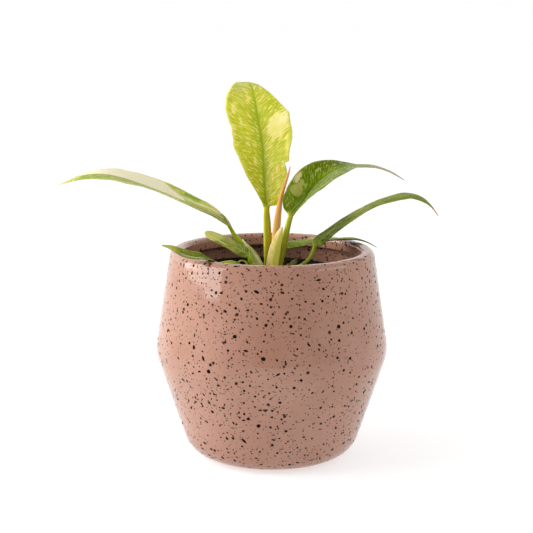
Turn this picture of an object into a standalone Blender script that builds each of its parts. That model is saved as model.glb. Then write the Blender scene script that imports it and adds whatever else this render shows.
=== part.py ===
"""A potted philodendron: a speckled, shouldered ceramic pot, the grow pot and soil inside it, and the plant.

Millimetres on the way in, metres in the mesh. The pot's axis is Z, its foot rests on z = 0, and the side
that faces a viewer is -Y. Each leaf is one solid, stalk and blade together, as it grows: a tube that opens
into a thin blade of two halves, each turned by its own angle about the midrib.
"""

import math

import bmesh
import bpy
from mathutils import Vector

MM = 0.001

# ---- driving dimensions, mm -------------------------------------------------------------------------
POT_SHOULDER_R = 80.0      # widest radius
POT_SHOULDER_Z = 73.0
POT_FOOT_R = 55.7          # where the lower wall would meet the floor without its rounding
POT_LIP_R = 69.2           # outer radius at the lip
POT_H = 142.9
POT_LIP_W = 9.0            # width of the lip
POT_LIP_BAND = 8.2         # height of the lip's inner band, above the undercut
POT_WALL = 5.5
POT_FLOOR = 8.0
POT_FOOT_ROUND = 20.0
POT_SHOULDER_ROUND = 30.0
POT_SEGMENTS = 56

NURSERY_X, NURSERY_Y = -6.0, -1.0
NURSERY_RIM_R = 54.0
NURSERY_RIM_Z = 127.5
NURSERY_BASE_R = 36.0
NURSERY_WALL = 1.2
NURSERY_BASE_Z = POT_FLOOR + 0.3
NURSERY_SEGMENTS = 44
DRAIN_R = 4.0
DRAIN_RING_R = 22.0
DRAIN_COUNT = 6

GAP = 0.3                  # clearance between pieces that touch
SOIL_TOP_Z = 123.6
SOIL_CROWN_Z = 124.6
CROWN_TOP_Z = 126.0
CROWN_X, CROWN_Y = -1.0, -1.0
CROWN_R = 10.5
CROWN_DEPTH = 14.0

RING_HALF = 3              # stations across each half of a blade

# ---- the leaves -------------------------------------------------------------------------------------
# stalk rows: x, y, z, radius
# blade rows: x, y, z of the midrib, width of half a, width of half b, turn of a, turn of b, then where
#             the margin lags behind its midrib point: sweep of a, sweep of b (mm)
# side: the rough direction of half a. A positive turn swings that half toward the viewer.
LEAVES = {
    "leaf_upright": dict(
        side=(1.0, 0.0, 0.18),
        stalk=[(-3.0, 6.2, 126.6, 2.5), (-3.2, 6.0, 138.0, 2.6), (-3.4, 5.6, 152.0, 2.7),
               (-3.8, 5.2, 162.0, 2.4), (-4.1, 5.0, 168.5, 2.0)],
        blade=[(-4.1, 5.0, 170.5, 2.2, 2.2, 0, 0, 0, 0),
               (-4.3, 4.9, 173.5, 8.0, 2.9, 12, 12, 1.5, 0),
               (-4.6, 4.7, 177.5, 11.3, 4.6, 14, 14, 0, 0),
               (-5.0, 4.4, 182.5, 13.4, 6.8, 14, 14, 0, 0),
               (-5.4, 4.0, 189.0, 16.0, 10.4, 14, 14, 0, 0),
               (-5.9, 3.3, 197.0, 15.6, 14.1, 12, 14, 0, 0),
               (-6.1, 3.0, 200.6, 14.6, 15.4, 10, 14, 0, 0),
               (-6.2, 2.9, 202.6, 17.6, 16.1, 10, 14, 0, 0),
               (-6.5, 2.5, 209.0, 18.2, 18.2, 10, 12, 0, 0),
               (-7.5, 2.0, 217.5, 21.4, 20.3, 10, 12, 0, 0),
               (-9.3, 1.0, 227.0, 21.8, 19.2, 10, 12, 1, 0),
               (-10.5, 0.4, 234.0, 21.2, 20.2, 8, 12, 2, 0),
               (-11.5, 0.2, 239.5, 18.8, 20.6, 6, 10, 3, -1),
               (-12.4, 0.8, 244.6, 14.6, 19.0, 4, 6, 4, -3),
               (-13.6, 2.6, 249.6, 9.0, 16.6, 0, 0, 4, -4),
               (-15.2, 5.8, 253.6, 4.6, 13.2, 0, 0, 2, -2),
               (-16.6, 10.6, 254.2, 3.4, 8.4, 0, 0, 0, 0),
               (-17.6, 15.8, 251.4, 0.5, 0.5, 0, 0, 0, 0)],
        curl=(6, 6), front=1),
    "leaf_right_near": dict(
        side=(-0.55, 0.0, 1.0),
        stalk=[(6.6, -3.6, 126.6, 2.2), (5.8, -3.6, 133.0, 2.3), (7.0, -3.6, 142.5, 2.3),
               (8.8, -4.0, 151.3, 2.2), (10.3, -4.5, 158.6, 2.0), (11.9, -4.9, 164.8, 1.8)],
        blade=[(12.5, -5.0, 166.9, 2.6, 1.9, 0, 10, 1.0, 0),
               (13.8, -5.1, 168.6, 6.6, 1.7, 2, 40, 2.0, 0),
               (16.8, -5.5, 172.0, 12.4, 4.6, 4, 74, 1.0, 0),
               (20.5, -6.0, 175.9, 14.4, 8.6, 4, 84, 0, 0),
               (23.2, -6.2, 180.0, 14.8, 12.0, 2, 82, 0, 0),
               (26.6, -6.5, 184.8, 15.0, 14.0, 0, 78, 0, 0),
               (33.2, -7.0, 191.6, 13.6, 14.5, -22, 72, 0, 0),
               (41.0, -7.2, 197.3, 13.0, 13.5, -62, 72, 0, 0),
               (49.7, -7.2, 200.1, 11.6, 12.0, -83, 78, 0, 0),
               (58.5, -6.8, 200.4, 8.6, 8.4, -90, 88, 0, 0),
               (68.6, -6.2, 199.9, 5.0, 5.0, -86, 84, 0, 0),
               (78.8, -5.6, 196.6, 2.2, 2.2, -82, 78, 0, 0),
               (88.4, -5.0, 190.9, 0.5, 0.5, -70, 70, 0, 0)],
        curl=(4, 6), front=-1),
    "leaf_left_long": dict(
        side=(0.45, 0.0, 1.0),
        stalk=[(-7.0, 2.6, 126.6, 2.3), (-9.4, 3.2, 132.9, 2.3), (-14.6, 3.4, 140.3, 2.1),
               (-22.2, 3.0, 147.1, 1.8), (-26.0, 2.0, 151.8, 1.5), (-28.6, 0.6, 156.7, 1.3)],
        blade=[(-29.4, -0.6, 158.5, 1.6, 1.4, -20, 60, 0, 0),
               (-33.8, -2.0, 162.1, 5.0, 4.4, -56, 84, 0, 0),
               (-38.9, -3.4, 165.7, 9.0, 8.6, -70, 94, 0, 0),
               (-49.0, -5.0, 170.5, 12.8, 12.6, -72, 95, 0, 0),
               (-59.0, -6.0, 175.2, 14.8, 14.4, -74, 95, 0, 0),
               (-72.3, -8.0, 181.3, 16.0, 15.0, -75, 94, 0, 0),
               (-85.5, -10.0, 186.7, 15.0, 14.4, -75, 91, 0, 0),
               (-98.7, -12.0, 191.6, 13.2, 12.8, -77, 85, 0, 0),
               (-111.8, -14.0, 194.7, 10.4, 10.6, -83, 79, 0, 0),
               (-124.9, -16.0, 194.3, 6.4, 6.8, -90, 76, 0, 0),
               (-133.4, -17.0, 191.5, 3.0, 3.2, -88, 76, 0, 0),
               (-142.0, -18.0, 188.2, 0.5, 0.5, -84, 76, 0, 0)],
        curl=(6, 6), front=1),
    "leaf_right_long": dict(
        side=(-0.55, 0.0, 1.0),
        stalk=[(12.6, 3.4, 126.6, 1.5), (17.6, 4.6, 130.2, 1.4), (23.4, 6.0, 135.4, 1.2),
               (28.0, 7.0, 142.8, 1.3), (29.4, 7.4, 145.0, 1.3)],
        blade=[(30.6, 7.6, 146.4, 1.8, 1.8, -50, 50, 0, 0),
               (34.6, 8.2, 149.4, 5.2, 5.2, -76, 76, 0, 0),
               (40.0, 9.0, 153.2, 8.4, 8.6, -84, 84, 0, 0),
               (46.4, 10.0, 158.1, 10.8, 11.0, -87, 87, 0, 0),
               (53.3, 11.0, 162.9, 12.0, 12.2, -86, 87, 0, 0),
               (66.9, 12.0, 169.7, 12.2, 12.2, -90, 88, 0, 0),
               (80.5, 13.0, 175.0, 10.8, 10.8, -88, 84, 0, 0),
               (94.3, 14.0, 177.4, 8.4, 8.6, -82, 78, 0, 0),
               (104.8, 15.0, 173.9, 5.4, 5.6, -74, 68, 0, 0),
               (110.4, 15.6, 168.8, 3.0, 3.0, -68, 64, 0, 0),
               (114.4, 16.0, 163.4, 0.5, 0.5, -60, 60, 0, 0)],
        curl=(4, 8), front=-1),
    "leaf_left_short": dict(
        side=(0.5, 0.0, 1.0),
        stalk=[(-12.8, -8.0, 126.0, 1.7), (-14.6, -8.2, 132.0, 1.7), (-17.0, -8.0, 137.8, 1.7)],
        blade=[(-18.6, -7.8, 139.8, 2.4, 1.9, -30, 30, 0, 0),
               (-21.6, -6.6, 142.2, 4.2, 3.8, -50, 44, 0, 0),
               (-25.4, -4.8, 144.4, 5.6, 5.6, -64, 56, 0, 0),
               (-30.6, -1.8, 146.7, 6.8, 7.0, -70, 64, 0, 0),
               (-36.2, 1.4, 149.1, 6.6, 6.8, -70, 64, 0, 0),
               (-41.2, 4.2, 151.1, 4.8, 5.0, -64, 60, 0, 0),
               (-44.6, 6.2, 152.3, 2.6, 2.8, -52, 48, 0, 0),
               (-46.2, 7.4, 152.7, 0.6, 0.6, -30, 20, 0, 0)],
        curl=(4, 4), front=1),
    "leaf_left_low": dict(
        side=(0.3, 0.0, 1.0),
        stalk=[(-9.0, -13.6, 125.2, 1.5), (-14.2, -19.6, 129.4, 1.5), (-21.6, -28.0, 134.6, 1.5)],
        blade=[(-25.0, -32.0, 136.8, 1.8, 1.8, -40, 40, 0, 0),
               (-30.4, -38.0, 140.2, 3.8, 3.4, -70, 70, 0, 0),
               (-37.0, -44.4, 143.6, 5.4, 5.0, -80, 94, 0, 0),
               (-43.6, -50.0, 145.3, 6.6, 6.2, -80, 88, 0, 0),
               (-51.6, -54.4, 147.5, 7.0, 6.8, -80, 74, 0, 0),
               (-58.0, -57.4, 150.2, 5.6, 5.6, -78, 68, 0, 0),
               (-64.0, -60.0, 153.3, 3.6, 3.6, -76, 68, 0, 0),
               (-67.6, -61.8, 154.7, 1.6, 1.6, -70, 70, 0, 0),
               (-70.6, -63.4, 155.6, 0.5, 0.5, -60, 60, 0, 0)],
        curl=(4, 4), front=1),
    "leaf_rear_right": dict(
        side=(0.0, 0.0, 1.0),
        stalk=[(3.4, 12.2, 125.2, 1.4), (4.0, 12.4, 131.6, 1.4), (6.4, 12.8, 138.4, 1.4)],
        blade=[(8.6, 13.2, 141.4, 2.0, 2.0, -50, 50, 0, 0),
               (12.4, 14.0, 142.8, 3.8, 3.8, -66, 66, 0, 0),
               (18.0, 15.6, 143.7, 6.0, 6.0, -78, 78, 0, 0),
               (26.1, 18.0, 144.8, 7.2, 7.2, -87, 90, 0, 0),
               (40.2, 22.4, 145.5, 7.8, 7.8, -93, 97, 0, 0),
               (51.6, 26.0, 145.1, 6.4, 6.4, -92, 96, 0, 0),
               (58.8, 28.0, 144.7, 4.6, 4.6, -89, 93, 0, 0),
               (66.2, 30.2, 142.5, 2.6, 2.6, -88, 88, 0, 0),
               (73.6, 33.0, 138.2, 0.5, 0.5, -80, 80, 0, 0)],
        curl=(2, 2), front=-1),
    "leaf_front_small": dict(
        side=(0.2, 0.2, 1.0),
        stalk=[(-19.6, -14.0, 125.0, 1.1), (-19.4, -15.0, 130.6, 1.1)],
        blade=[(-20.2, -15.8, 133.8, 1.4, 1.4, -20, 10, 0, 0),
               (-23.0, -17.0, 136.0, 2.8, 2.6, -40, 24, 0, 0),
               (-27.0, -18.0, 137.3, 3.2, 3.0, -60, 40, 0, 0),
               (-31.0, -19.2, 137.3, 2.4, 2.4, -66, 54, 0, 0),
               (-35.0, -20.4, 136.6, 0.5, 0.5, -60, 60, 0, 0)],
        curl=(2, 2), front=1),
    "sheath_front": dict(
        side=(1.0, 0.0, 0.0),
        stalk=[],
        blade=[(-1.3, -8.6, 126.6, 4.0, 4.0, -30, -30, 0, 0),
               (-1.1, -8.4, 133.0, 4.0, 4.0, -30, -30, 0, 0),
               (-0.1, -8.2, 140.0, 3.9, 3.9, -30, -30, 0, 0),
               (1.8, -8.0, 147.2, 3.3, 3.5, -28, -28, 0, 0),
               (4.2, -7.8, 153.2, 2.3, 2.6, -24, -24, 0, 0),
               (5.8, -7.6, 156.8, 1.4, 1.5, -20, -20, 0, 0),
               (6.7, -7.4, 159.0, 0.4, 0.4, -10, -10, 0, 0)],
        curl=(-36, -36), front=1),
    "sheath_left": dict(
        side=(1.0, 0.0, 0.6),
        stalk=[],
        blade=[(-6.6, -2.2, 126.8, 2.8, 2.4, -20, -20, 0, 0),
               (-8.0, -2.0, 132.4, 2.8, 2.4, -20, -20, 0, 0),
               (-11.0, -1.8, 138.0, 2.6, 2.2, -20, -20, 0, 0),
               (-15.2, -1.8, 143.6, 2.0, 1.8, -16, -16, 0, 0),
               (-18.2, -1.8, 147.6, 1.1, 1.1, -10, -10, 0, 0),
               (-19.8, -1.8, 149.8, 0.4, 0.4, 0, 0, 0, 0)],
        curl=(-16, -16), front=1),
    "sheath_dry": dict(
        side=(0.6, 0.0, -0.6),
        stalk=[],
        blade=[(10.0, 9.6, 125.6, 2.2, 2.2, -10, -10, 0, 0),
               (13.4, 10.0, 129.6, 2.2, 2.2, -10, -10, 0, 0),
               (16.4, 10.2, 132.4, 1.6, 1.6, -10, -10, 0, 0),
               (20.0, 10.4, 135.4, 0.4, 0.4, 0, 0, 0, 0)],
        curl=(-20, -20), front=1),
}
# round shoots: x, y, z, radius
SHOOTS = {
    "leaf_front_hook": [(-16.8, -11.8, 125.2, 1.0), (-16.6, -11.6, 131.0, 1.0), (-17.2, -11.4, 134.4, 0.9),
                        (-18.8, -11.2, 136.0, 0.9), (-20.9, -11.2, 136.5, 0.8), (-23.6, -11.6, 135.9, 0.4)],
    "new_leaf": [(1.6, 0.4, 126.7, 1.6), (1.7, 0.2, 140.0, 2.2), (2.4, -0.6, 152.0, 2.6),
                 (3.2, -1.6, 160.0, 2.5), (4.2, -2.4, 168.7, 2.0), (5.4, -3.0, 177.4, 1.5),
                 (7.9, -3.4, 186.4, 1.15), (10.2, -3.6, 193.4, 0.8), (11.8, -3.8, 199.4, 0.35)],
}
BLADE_EDGE = 0.55          # thickness at a blade's margin
BLADE_RIB = 0.7            # extra thickness at the midrib

COLOURS = {
    "ceramic_pot": (0.58, 0.31, 0.22),
    "nursery_pot": (0.02, 0.02, 0.02),
    "soil": (0.035, 0.022, 0.014),
    "crown": (0.16, 0.15, 0.05),
    "crown_pocket": (0.5, 0.5, 0.5),
    "leaf_upright": (0.50, 0.52, 0.03),
    "leaf_right_near": (0.08, 0.14, 0.005),
    "leaf_left_long": (0.62, 0.60, 0.32),
    "leaf_right_long": (0.14, 0.20, 0.03),
    "leaf_left_short": (0.30, 0.33, 0.06),
    "leaf_left_low": (0.20, 0.26, 0.03),
    "leaf_rear_right": (0.11, 0.20, 0.03),
    "leaf_front_small": (0.24, 0.27, 0.03),
    "leaf_front_hook": (0.28, 0.25, 0.06),
    "new_leaf": (0.45, 0.20, 0.03),
    "sheath_front": (0.38, 0.34, 0.10),
    "sheath_left": (0.32, 0.36, 0.08),
    "sheath_dry": (0.30, 0.30, 0.18),
}


# ---- start clean ------------------------------------------------------------------------------------
for old in list(bpy.data.objects):
    bpy.data.objects.remove(old, do_unlink=True)
for old in list(bpy.data.collections):
    bpy.data.collections.remove(old)
PARTS = bpy.data.collections.new("potted_philodendron")
CUTTERS = bpy.data.collections.new("cutters")
bpy.context.scene.collection.children.link(PARTS)
bpy.context.scene.collection.children.link(CUTTERS)


def material(name):
    mat = bpy.data.materials.new(name)
    mat.use_nodes = True
    shader = mat.node_tree.nodes["Principled BSDF"]
    shader.inputs["Base Color"].default_value = (*COLOURS[name], 1.0)
    shader.inputs["Roughness"].default_value = 0.4
    mat.diffuse_color = (*COLOURS[name], 1.0)
    return mat


def add(name, verts, faces):
    """One named, closed loft from points in mm."""
    mesh = bpy.data.meshes.new(name)
    mesh.from_pydata([tuple(c * MM for c in v) for v in verts], [], faces)
    bm = bmesh.new()
    bm.from_mesh(mesh)
    bmesh.ops.recalc_face_normals(bm, faces=bm.faces)
    bmesh.ops.triangulate(bm, faces=bm.faces)
    bm.to_mesh(mesh)
    bm.free()
    mesh.materials.append(material(name))
    ob = bpy.data.objects.new(name, mesh)
    PARTS.objects.link(ob)
    return ob


def fillet(a, p, b, radius, steps):
    """Points of the arc that rounds corner p between a and b."""
    a, p, b = Vector(a), Vector(p), Vector(b)
    u, v = (a - p).normalized(), (b - p).normalized()
    angle = u.angle(v)
    back = radius / math.tan(angle / 2)
    centre = p + (u + v).normalized() * (radius / math.sin(angle / 2))
    start, end = p + u * back - centre, p + v * back - centre
    a0 = math.atan2(start.y, start.x)
    sweep = (math.atan2(end.y, end.x) - a0 + math.pi) % (2 * math.pi) - math.pi
    return [(centre.x + radius * math.cos(a0 + sweep * k / steps),
             centre.y + radius * math.sin(a0 + sweep * k / steps)) for k in range(steps + 1)]


def rounded(corners):
    """A profile from (r, z, rounding, steps) corners; the first and last stay sharp."""
    out = []
    for i, (r, z, radius, steps) in enumerate(corners):
        if radius and 0 < i < len(corners) - 1:
            out += fillet(corners[i - 1][:2], (r, z), corners[i + 1][:2], radius, steps)
        else:
            out.append((r, z))
    return out


def turned(name, profile, segments, centre=(0.0, 0.0)):
    """A solid of revolution by a Screw modifier. The profile is given from the axis underneath, up the
    outside, down the inside and back to the axis, and is laid at +X the other way round.
    """
    points = [(r * MM, 0.0, z * MM) for r, z in reversed(profile)]
    mesh = bpy.data.meshes.new(name)
    mesh.from_pydata(points, [(k, k + 1) for k in range(len(points) - 1)], [])
    mesh.materials.append(material(name))
    ob = bpy.data.objects.new(name, mesh)
    ob.location = (centre[0] * MM, centre[1] * MM, 0.0)
    PARTS.objects.link(ob)
    screw = ob.modifiers.new("turn", "SCREW")
    screw.axis = "Z"
    screw.angle = 2 * math.pi
    screw.steps = screw.render_steps = segments
    screw.use_merge_vertices = True
    screw.merge_threshold = 0.00005
    screw.use_smooth_shade = True
    return ob


def tube(name, points):
    """A round shoot along x, y, z, radius points: a bevelled curve with filled caps."""
    curve = bpy.data.curves.new(name, "CURVE")
    curve.dimensions = "3D"
    curve.bevel_depth = MM
    curve.bevel_resolution = 2
    curve.use_fill_caps = True
    line = curve.splines.new("POLY")
    line.points.add(len(points) - 1)
    for point, (x, y, z, radius) in zip(line.points, points):
        point.co = (x * MM, y * MM, z * MM, 1.0)
        point.radius = radius
    line.use_smooth = True
    curve.materials.append(material(name))
    ob = bpy.data.objects.new(name, curve)
    PARTS.objects.link(ob)
    return ob


# ---- the pots and the soil --------------------------------------------------------------------------
upper_slope = (POT_SHOULDER_R - POT_LIP_R) / (POT_H - POT_SHOULDER_Z)
undercut_z = POT_H - POT_LIP_BAND
undercut_r = POT_LIP_R + upper_slope * (POT_H - undercut_z) - POT_WALL
lip_inner_r = POT_LIP_R - POT_LIP_W
turned("ceramic_pot", rounded([
    (0.0, 0.0, 0, 0),
    (POT_FOOT_R, 0.0, POT_FOOT_ROUND, 6),
    (POT_SHOULDER_R, POT_SHOULDER_Z, POT_SHOULDER_ROUND, 5),
    (POT_LIP_R, POT_H, 3.5, 3),
    (lip_inner_r, POT_H, 3.0, 3),
    (lip_inner_r - 0.2, undercut_z, 0, 0),
    (undercut_r, undercut_z - 0.6, 0, 0),
    (POT_SHOULDER_R - POT_WALL - 0.3, POT_SHOULDER_Z, POT_SHOULDER_ROUND - POT_WALL, 4),
    (POT_FOOT_R - POT_WALL + 1.4, POT_FLOOR, POT_FOOT_ROUND - POT_WALL, 5),
    (0.0, POT_FLOOR, 0, 0),
]), POT_SEGMENTS)

taper = (NURSERY_RIM_R - 3.2 - NURSERY_BASE_R) / (NURSERY_RIM_Z - NURSERY_BASE_Z)


def nursery_wall_r(z):
    """Outer radius of the grow pot's wall at height z."""
    return NURSERY_BASE_R + taper * (z - NURSERY_BASE_Z)


rim_low = NURSERY_RIM_Z - 6.0
nursery = turned("nursery_pot", [
    (0.0, NURSERY_BASE_Z), (NURSERY_BASE_R - 1.5, NURSERY_BASE_Z), (NURSERY_BASE_R, NURSERY_BASE_Z + 1.5),
    (nursery_wall_r(rim_low), rim_low),
    (NURSERY_RIM_R - 1.3, rim_low), (NURSERY_RIM_R - 0.5, rim_low + 0.3), (NURSERY_RIM_R, NURSERY_RIM_Z - 0.9),
    (NURSERY_RIM_R - 0.6, NURSERY_RIM_Z - 0.1), (NURSERY_RIM_R - 1.6, NURSERY_RIM_Z),
    (nursery_wall_r(NURSERY_RIM_Z) - NURSERY_WALL, NURSERY_RIM_Z - 1.4),
    (nursery_wall_r(NURSERY_BASE_Z + NURSERY_WALL) - NURSERY_WALL, NURSERY_BASE_Z + NURSERY_WALL),
    (0.0, NURSERY_BASE_Z + NURSERY_WALL),
], NURSERY_SEGMENTS, (NURSERY_X, NURSERY_Y))

for k in range(DRAIN_COUNT):
    angle = 2 * math.pi * (k + 0.5) / DRAIN_COUNT
    bpy.ops.mesh.primitive_cylinder_add(
        vertices=16, radius=DRAIN_R * MM, depth=8 * MM,
        location=((NURSERY_X + DRAIN_RING_R * math.cos(angle)) * MM,
                  (NURSERY_Y + DRAIN_RING_R * math.sin(angle)) * MM,
                  (NURSERY_BASE_Z + NURSERY_WALL / 2) * MM))
    hole = bpy.context.active_object
    hole.name = f"drain_cutter_{k + 1}"
    hole.display_type = "WIRE"
    hole.hide_render = True
    for c in list(hole.users_collection):
        c.objects.unlink(hole)
    CUTTERS.objects.link(hole)
    cut = nursery.modifiers.new(f"drain_{k + 1}", "BOOLEAN")
    cut.object = hole
    cut.operation = "DIFFERENCE"
    cut.solver = "EXACT"

soil_base_z = NURSERY_BASE_Z + NURSERY_WALL + GAP


def soil_r(z):
    return nursery_wall_r(z) - NURSERY_WALL - GAP


# The soil's axis is the grow pot's. The crown's pocket is cut with the crown's own shape, a gap larger.
soil = turned("soil", [
    (0.0, soil_base_z), (soil_r(soil_base_z) - 0.2, soil_base_z), (soil_r(SOIL_TOP_Z - 1.0), SOIL_TOP_Z - 1.0),
    (soil_r(SOIL_TOP_Z) - 2.0, SOIL_TOP_Z), (28.0, SOIL_TOP_Z + 0.6), (0.0, SOIL_CROWN_Z),
], 40, (NURSERY_X, NURSERY_Y))


def crown_profile(grow, top):
    return [
        (0.0, CROWN_TOP_Z - CROWN_DEPTH - grow), (CROWN_R - 4.0 + grow, CROWN_TOP_Z - CROWN_DEPTH - grow),
        (CROWN_R + grow, CROWN_TOP_Z - CROWN_DEPTH + 4.0), (CROWN_R + grow, CROWN_TOP_Z - 2.0),
        (CROWN_R - 0.8 + grow, top), (0.0, top),
    ]


turned("crown", crown_profile(0.0, CROWN_TOP_Z), 24, (CROWN_X, CROWN_Y))
pocket = turned("crown_pocket", crown_profile(GAP + 0.1, CROWN_TOP_Z + 6.0), 24, (CROWN_X, CROWN_Y))
PARTS.objects.unlink(pocket)
CUTTERS.objects.link(pocket)
pocket.display_type = "WIRE"
pocket.hide_render = True
cut = soil.modifiers.new("crown_pocket", "BOOLEAN")
cut.object = pocket
cut.operation = "DIFFERENCE"
cut.solver = "EXACT"


# ---- the plant --------------------------------------------------------------------------------------
def frame_at(tangent, side, front):
    """Across-blade direction and the direction toward the viewer, both square to the midrib."""
    across = Vector(side) - tangent * Vector(side).dot(tangent)
    across.normalize()
    toward = across.cross(tangent) * front
    return across, toward


def half_point(centre, along, across, toward, width, turn, curl, sweep, part):
    """A point `part` of the way out along one half, whose direction turns steadily from turn by curl."""
    steps = 4
    p = centre.copy()
    for k in range(steps):
        a = math.radians(turn + curl * (k + 0.5) / steps * part)
        p += (across * math.cos(a) + toward * math.sin(a)) * (width * part / steps)
    return p - along * (sweep * part * part)


def grow(name, side, stalk, blade, curl, front):
    """One leaf: rings along the stalk, then along the blade, joined and capped into a closed solid.

    The first ring lies level, so that the foot of the leaf sits squarely on the crown or the soil.
    """
    centres = [Vector(s[:3]) for s in stalk] + [Vector(b[:3]) for b in blade]
    n = 2 * RING_HALF + 1
    verts, rings = [], []
    for i, c in enumerate(centres):
        ahead = centres[min(i + 1, len(centres) - 1)]
        behind = centres[max(i - 1, 0)]
        along = (ahead - behind).normalized() if i else Vector((0.0, 0.0, 1.0))
        across, toward = frame_at(along, side, front)
        ring = []
        if i < len(stalk):
            r = stalk[i][3]
            for k in range(2 * n):
                a = math.pi * (1 - (k + 0.5) / n)
                ring.append(c + (across * math.cos(a) + toward * math.sin(a)) * r)
        else:
            wa, wb, ta, tb, sa, sb = blade[i - len(stalk)][3:9]
            line = [half_point(c, along, -across, toward, wb, tb, curl[1], sb, k / RING_HALF)
                    for k in range(RING_HALF, 0, -1)]
            line.append(c.copy())
            line += [half_point(c, along, across, toward, wa, ta, curl[0], sa, k / RING_HALF)
                     for k in range(1, RING_HALF + 1)]
            top, bottom = [], []
            reach = max(wa, wb, 0.1)
            for k, p in enumerate(line):
                before, after = line[max(k - 1, 0)], line[min(k + 1, n - 1)]
                normal = (after - before).normalized().cross(along) * front
                middle = 1 - abs(k - RING_HALF) / RING_HALF
                rib = BLADE_RIB * min(1.0, reach / 4.0) if k == RING_HALF else 0.0
                edge = min(BLADE_EDGE, reach * 0.9)
                top.append(p + normal * edge / 2)
                bottom.append(p - normal * (edge / 2 + rib + 0.15 * middle * min(1.0, reach / 4.0)))
            ring = top + bottom[::-1]
        rings.append(range(len(verts), len(verts) + 2 * n))
        verts += [tuple(p) for p in ring]
    faces = [tuple(reversed(rings[0])), tuple(rings[-1])]
    for lower, upper in zip(rings[:-1], rings[1:]):
        for k in range(2 * n):
            m = (k + 1) % (2 * n)
            faces.append((lower[k], lower[m], upper[m], upper[k]))
    return add(name, verts, faces)


for leaf, shape in LEAVES.items():
    grow(leaf, shape["side"], shape["stalk"], shape["blade"], shape["curl"], shape["front"])
for shoot, points in SHOOTS.items():
    tube(shoot, points)
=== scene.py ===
import math
import random

import bpy
import numpy as np
from mathutils import Matrix, Vector


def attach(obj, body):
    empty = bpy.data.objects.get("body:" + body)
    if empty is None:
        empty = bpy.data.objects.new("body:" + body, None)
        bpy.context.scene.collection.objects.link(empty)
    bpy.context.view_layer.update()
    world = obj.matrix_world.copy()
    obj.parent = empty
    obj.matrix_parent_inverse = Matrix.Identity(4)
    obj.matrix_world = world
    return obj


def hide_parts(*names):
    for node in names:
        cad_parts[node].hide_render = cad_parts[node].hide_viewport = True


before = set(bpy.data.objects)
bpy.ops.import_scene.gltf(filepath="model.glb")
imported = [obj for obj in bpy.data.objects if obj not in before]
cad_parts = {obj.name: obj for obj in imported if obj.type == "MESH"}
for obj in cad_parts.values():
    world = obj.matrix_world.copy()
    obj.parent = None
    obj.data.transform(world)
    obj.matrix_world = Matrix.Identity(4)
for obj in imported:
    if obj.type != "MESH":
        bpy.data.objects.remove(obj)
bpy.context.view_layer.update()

MM = 0.001
scene = bpy.context.scene


# ---- numbers ----------------------------------------------------------------------------------------
def srgb(r, g, b, a=1.0):
    """Linear colour from 0-255 display values."""
    out = []
    for c in (r, g, b):
        c = c / 255.0
        out.append(c / 12.92 if c <= 0.04045 else ((c + 0.055) / 1.055) ** 2.4)
    return (*out, a)


def step(a, b, x):
    """Smooth step from 0 at a to 1 at b."""
    t = np.clip((np.asarray(x, float) - a) / (b - a), 0.0, 1.0)
    return t * t * (3 - 2 * t)


def hashed(ix, iy, iz, seed):
    n = (ix.astype(np.int64) * 374761393 + iy.astype(np.int64) * 668265263
         + iz.astype(np.int64) * 2147483647 + seed * 1274126177) & 0xFFFFFFFF
    n = ((n ^ (n >> 13)) * 1274126177) & 0xFFFFFFFF
    n = ((n ^ (n >> 16)) * 2246822519) & 0xFFFFFFFF
    return ((n ^ (n >> 15)) & 0xFFFFFF) / float(0xFFFFFF) * 2 - 1


def grain(x, y=0.0, z=0.0, seed=0):
    """Value noise from -1 to 1."""
    x, y, z = np.broadcast_arrays(np.asarray(x, float), np.asarray(y, float), np.asarray(z, float))
    fx, fy, fz = np.floor(x), np.floor(y), np.floor(z)
    tx, ty, tz = x - fx, y - fy, z - fz
    tx, ty, tz = (t * t * (3 - 2 * t) for t in (tx, ty, tz))
    total = 0.0
    for dx in (0, 1):
        for dy in (0, 1):
            for dz in (0, 1):
                w = (tx if dx else 1 - tx) * (ty if dy else 1 - ty) * (tz if dz else 1 - tz)
                total = total + w * hashed(fx + dx, fy + dy, fz + dz, seed)
    return total


def hermite(xs, ys, slopes, x):
    """Cubic through ys with the given slopes, at x."""
    xs, ys, slopes = np.asarray(xs, float), np.asarray(ys, float), np.asarray(slopes, float)
    k = np.clip(np.searchsorted(xs, x, side="right") - 1, 0, len(xs) - 2)
    h = xs[k + 1] - xs[k]
    t = (x - xs[k]) / h
    if ys.ndim == 2:
        h, t = h[:, None], t[:, None]
    return ((2 * t**3 - 3 * t**2 + 1) * ys[k] + (t**3 - 2 * t**2 + t) * h * slopes[k]
            + (-2 * t**3 + 3 * t**2) * ys[k + 1] + (t**3 - t**2) * h * slopes[k + 1])


def through(xs, ys, x):
    """A smooth curve through points."""
    xs, ys = np.asarray(xs, float), np.asarray(ys, float)
    d = np.diff(ys, axis=0) / (np.diff(xs)[:, None] if ys.ndim == 2 else np.diff(xs))
    h = np.diff(xs)
    s = np.zeros_like(ys)
    for i in range(1, len(xs) - 1):
        s[i] = (d[i - 1] * h[i] + d[i] * h[i - 1]) / (h[i - 1] + h[i])
    s[0], s[-1] = d[0], d[-1]
    return hermite(xs, ys, s, x)


def steady(xs, ys, x):
    """A smooth curve through values that never overshoots them."""
    xs, ys = np.asarray(xs, float), np.asarray(ys, float)
    h, d = np.diff(xs), np.diff(ys) / np.diff(xs)
    s = np.zeros_like(ys)
    for i in range(1, len(xs) - 1):
        if d[i - 1] * d[i] > 0:
            w1, w2 = 2 * h[i] + h[i - 1], h[i] + 2 * h[i - 1]
            s[i] = (w1 + w2) / (w1 / d[i - 1] + w2 / d[i])
    s[0], s[-1] = d[0], d[-1]
    return hermite(xs, ys, s, x)


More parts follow.
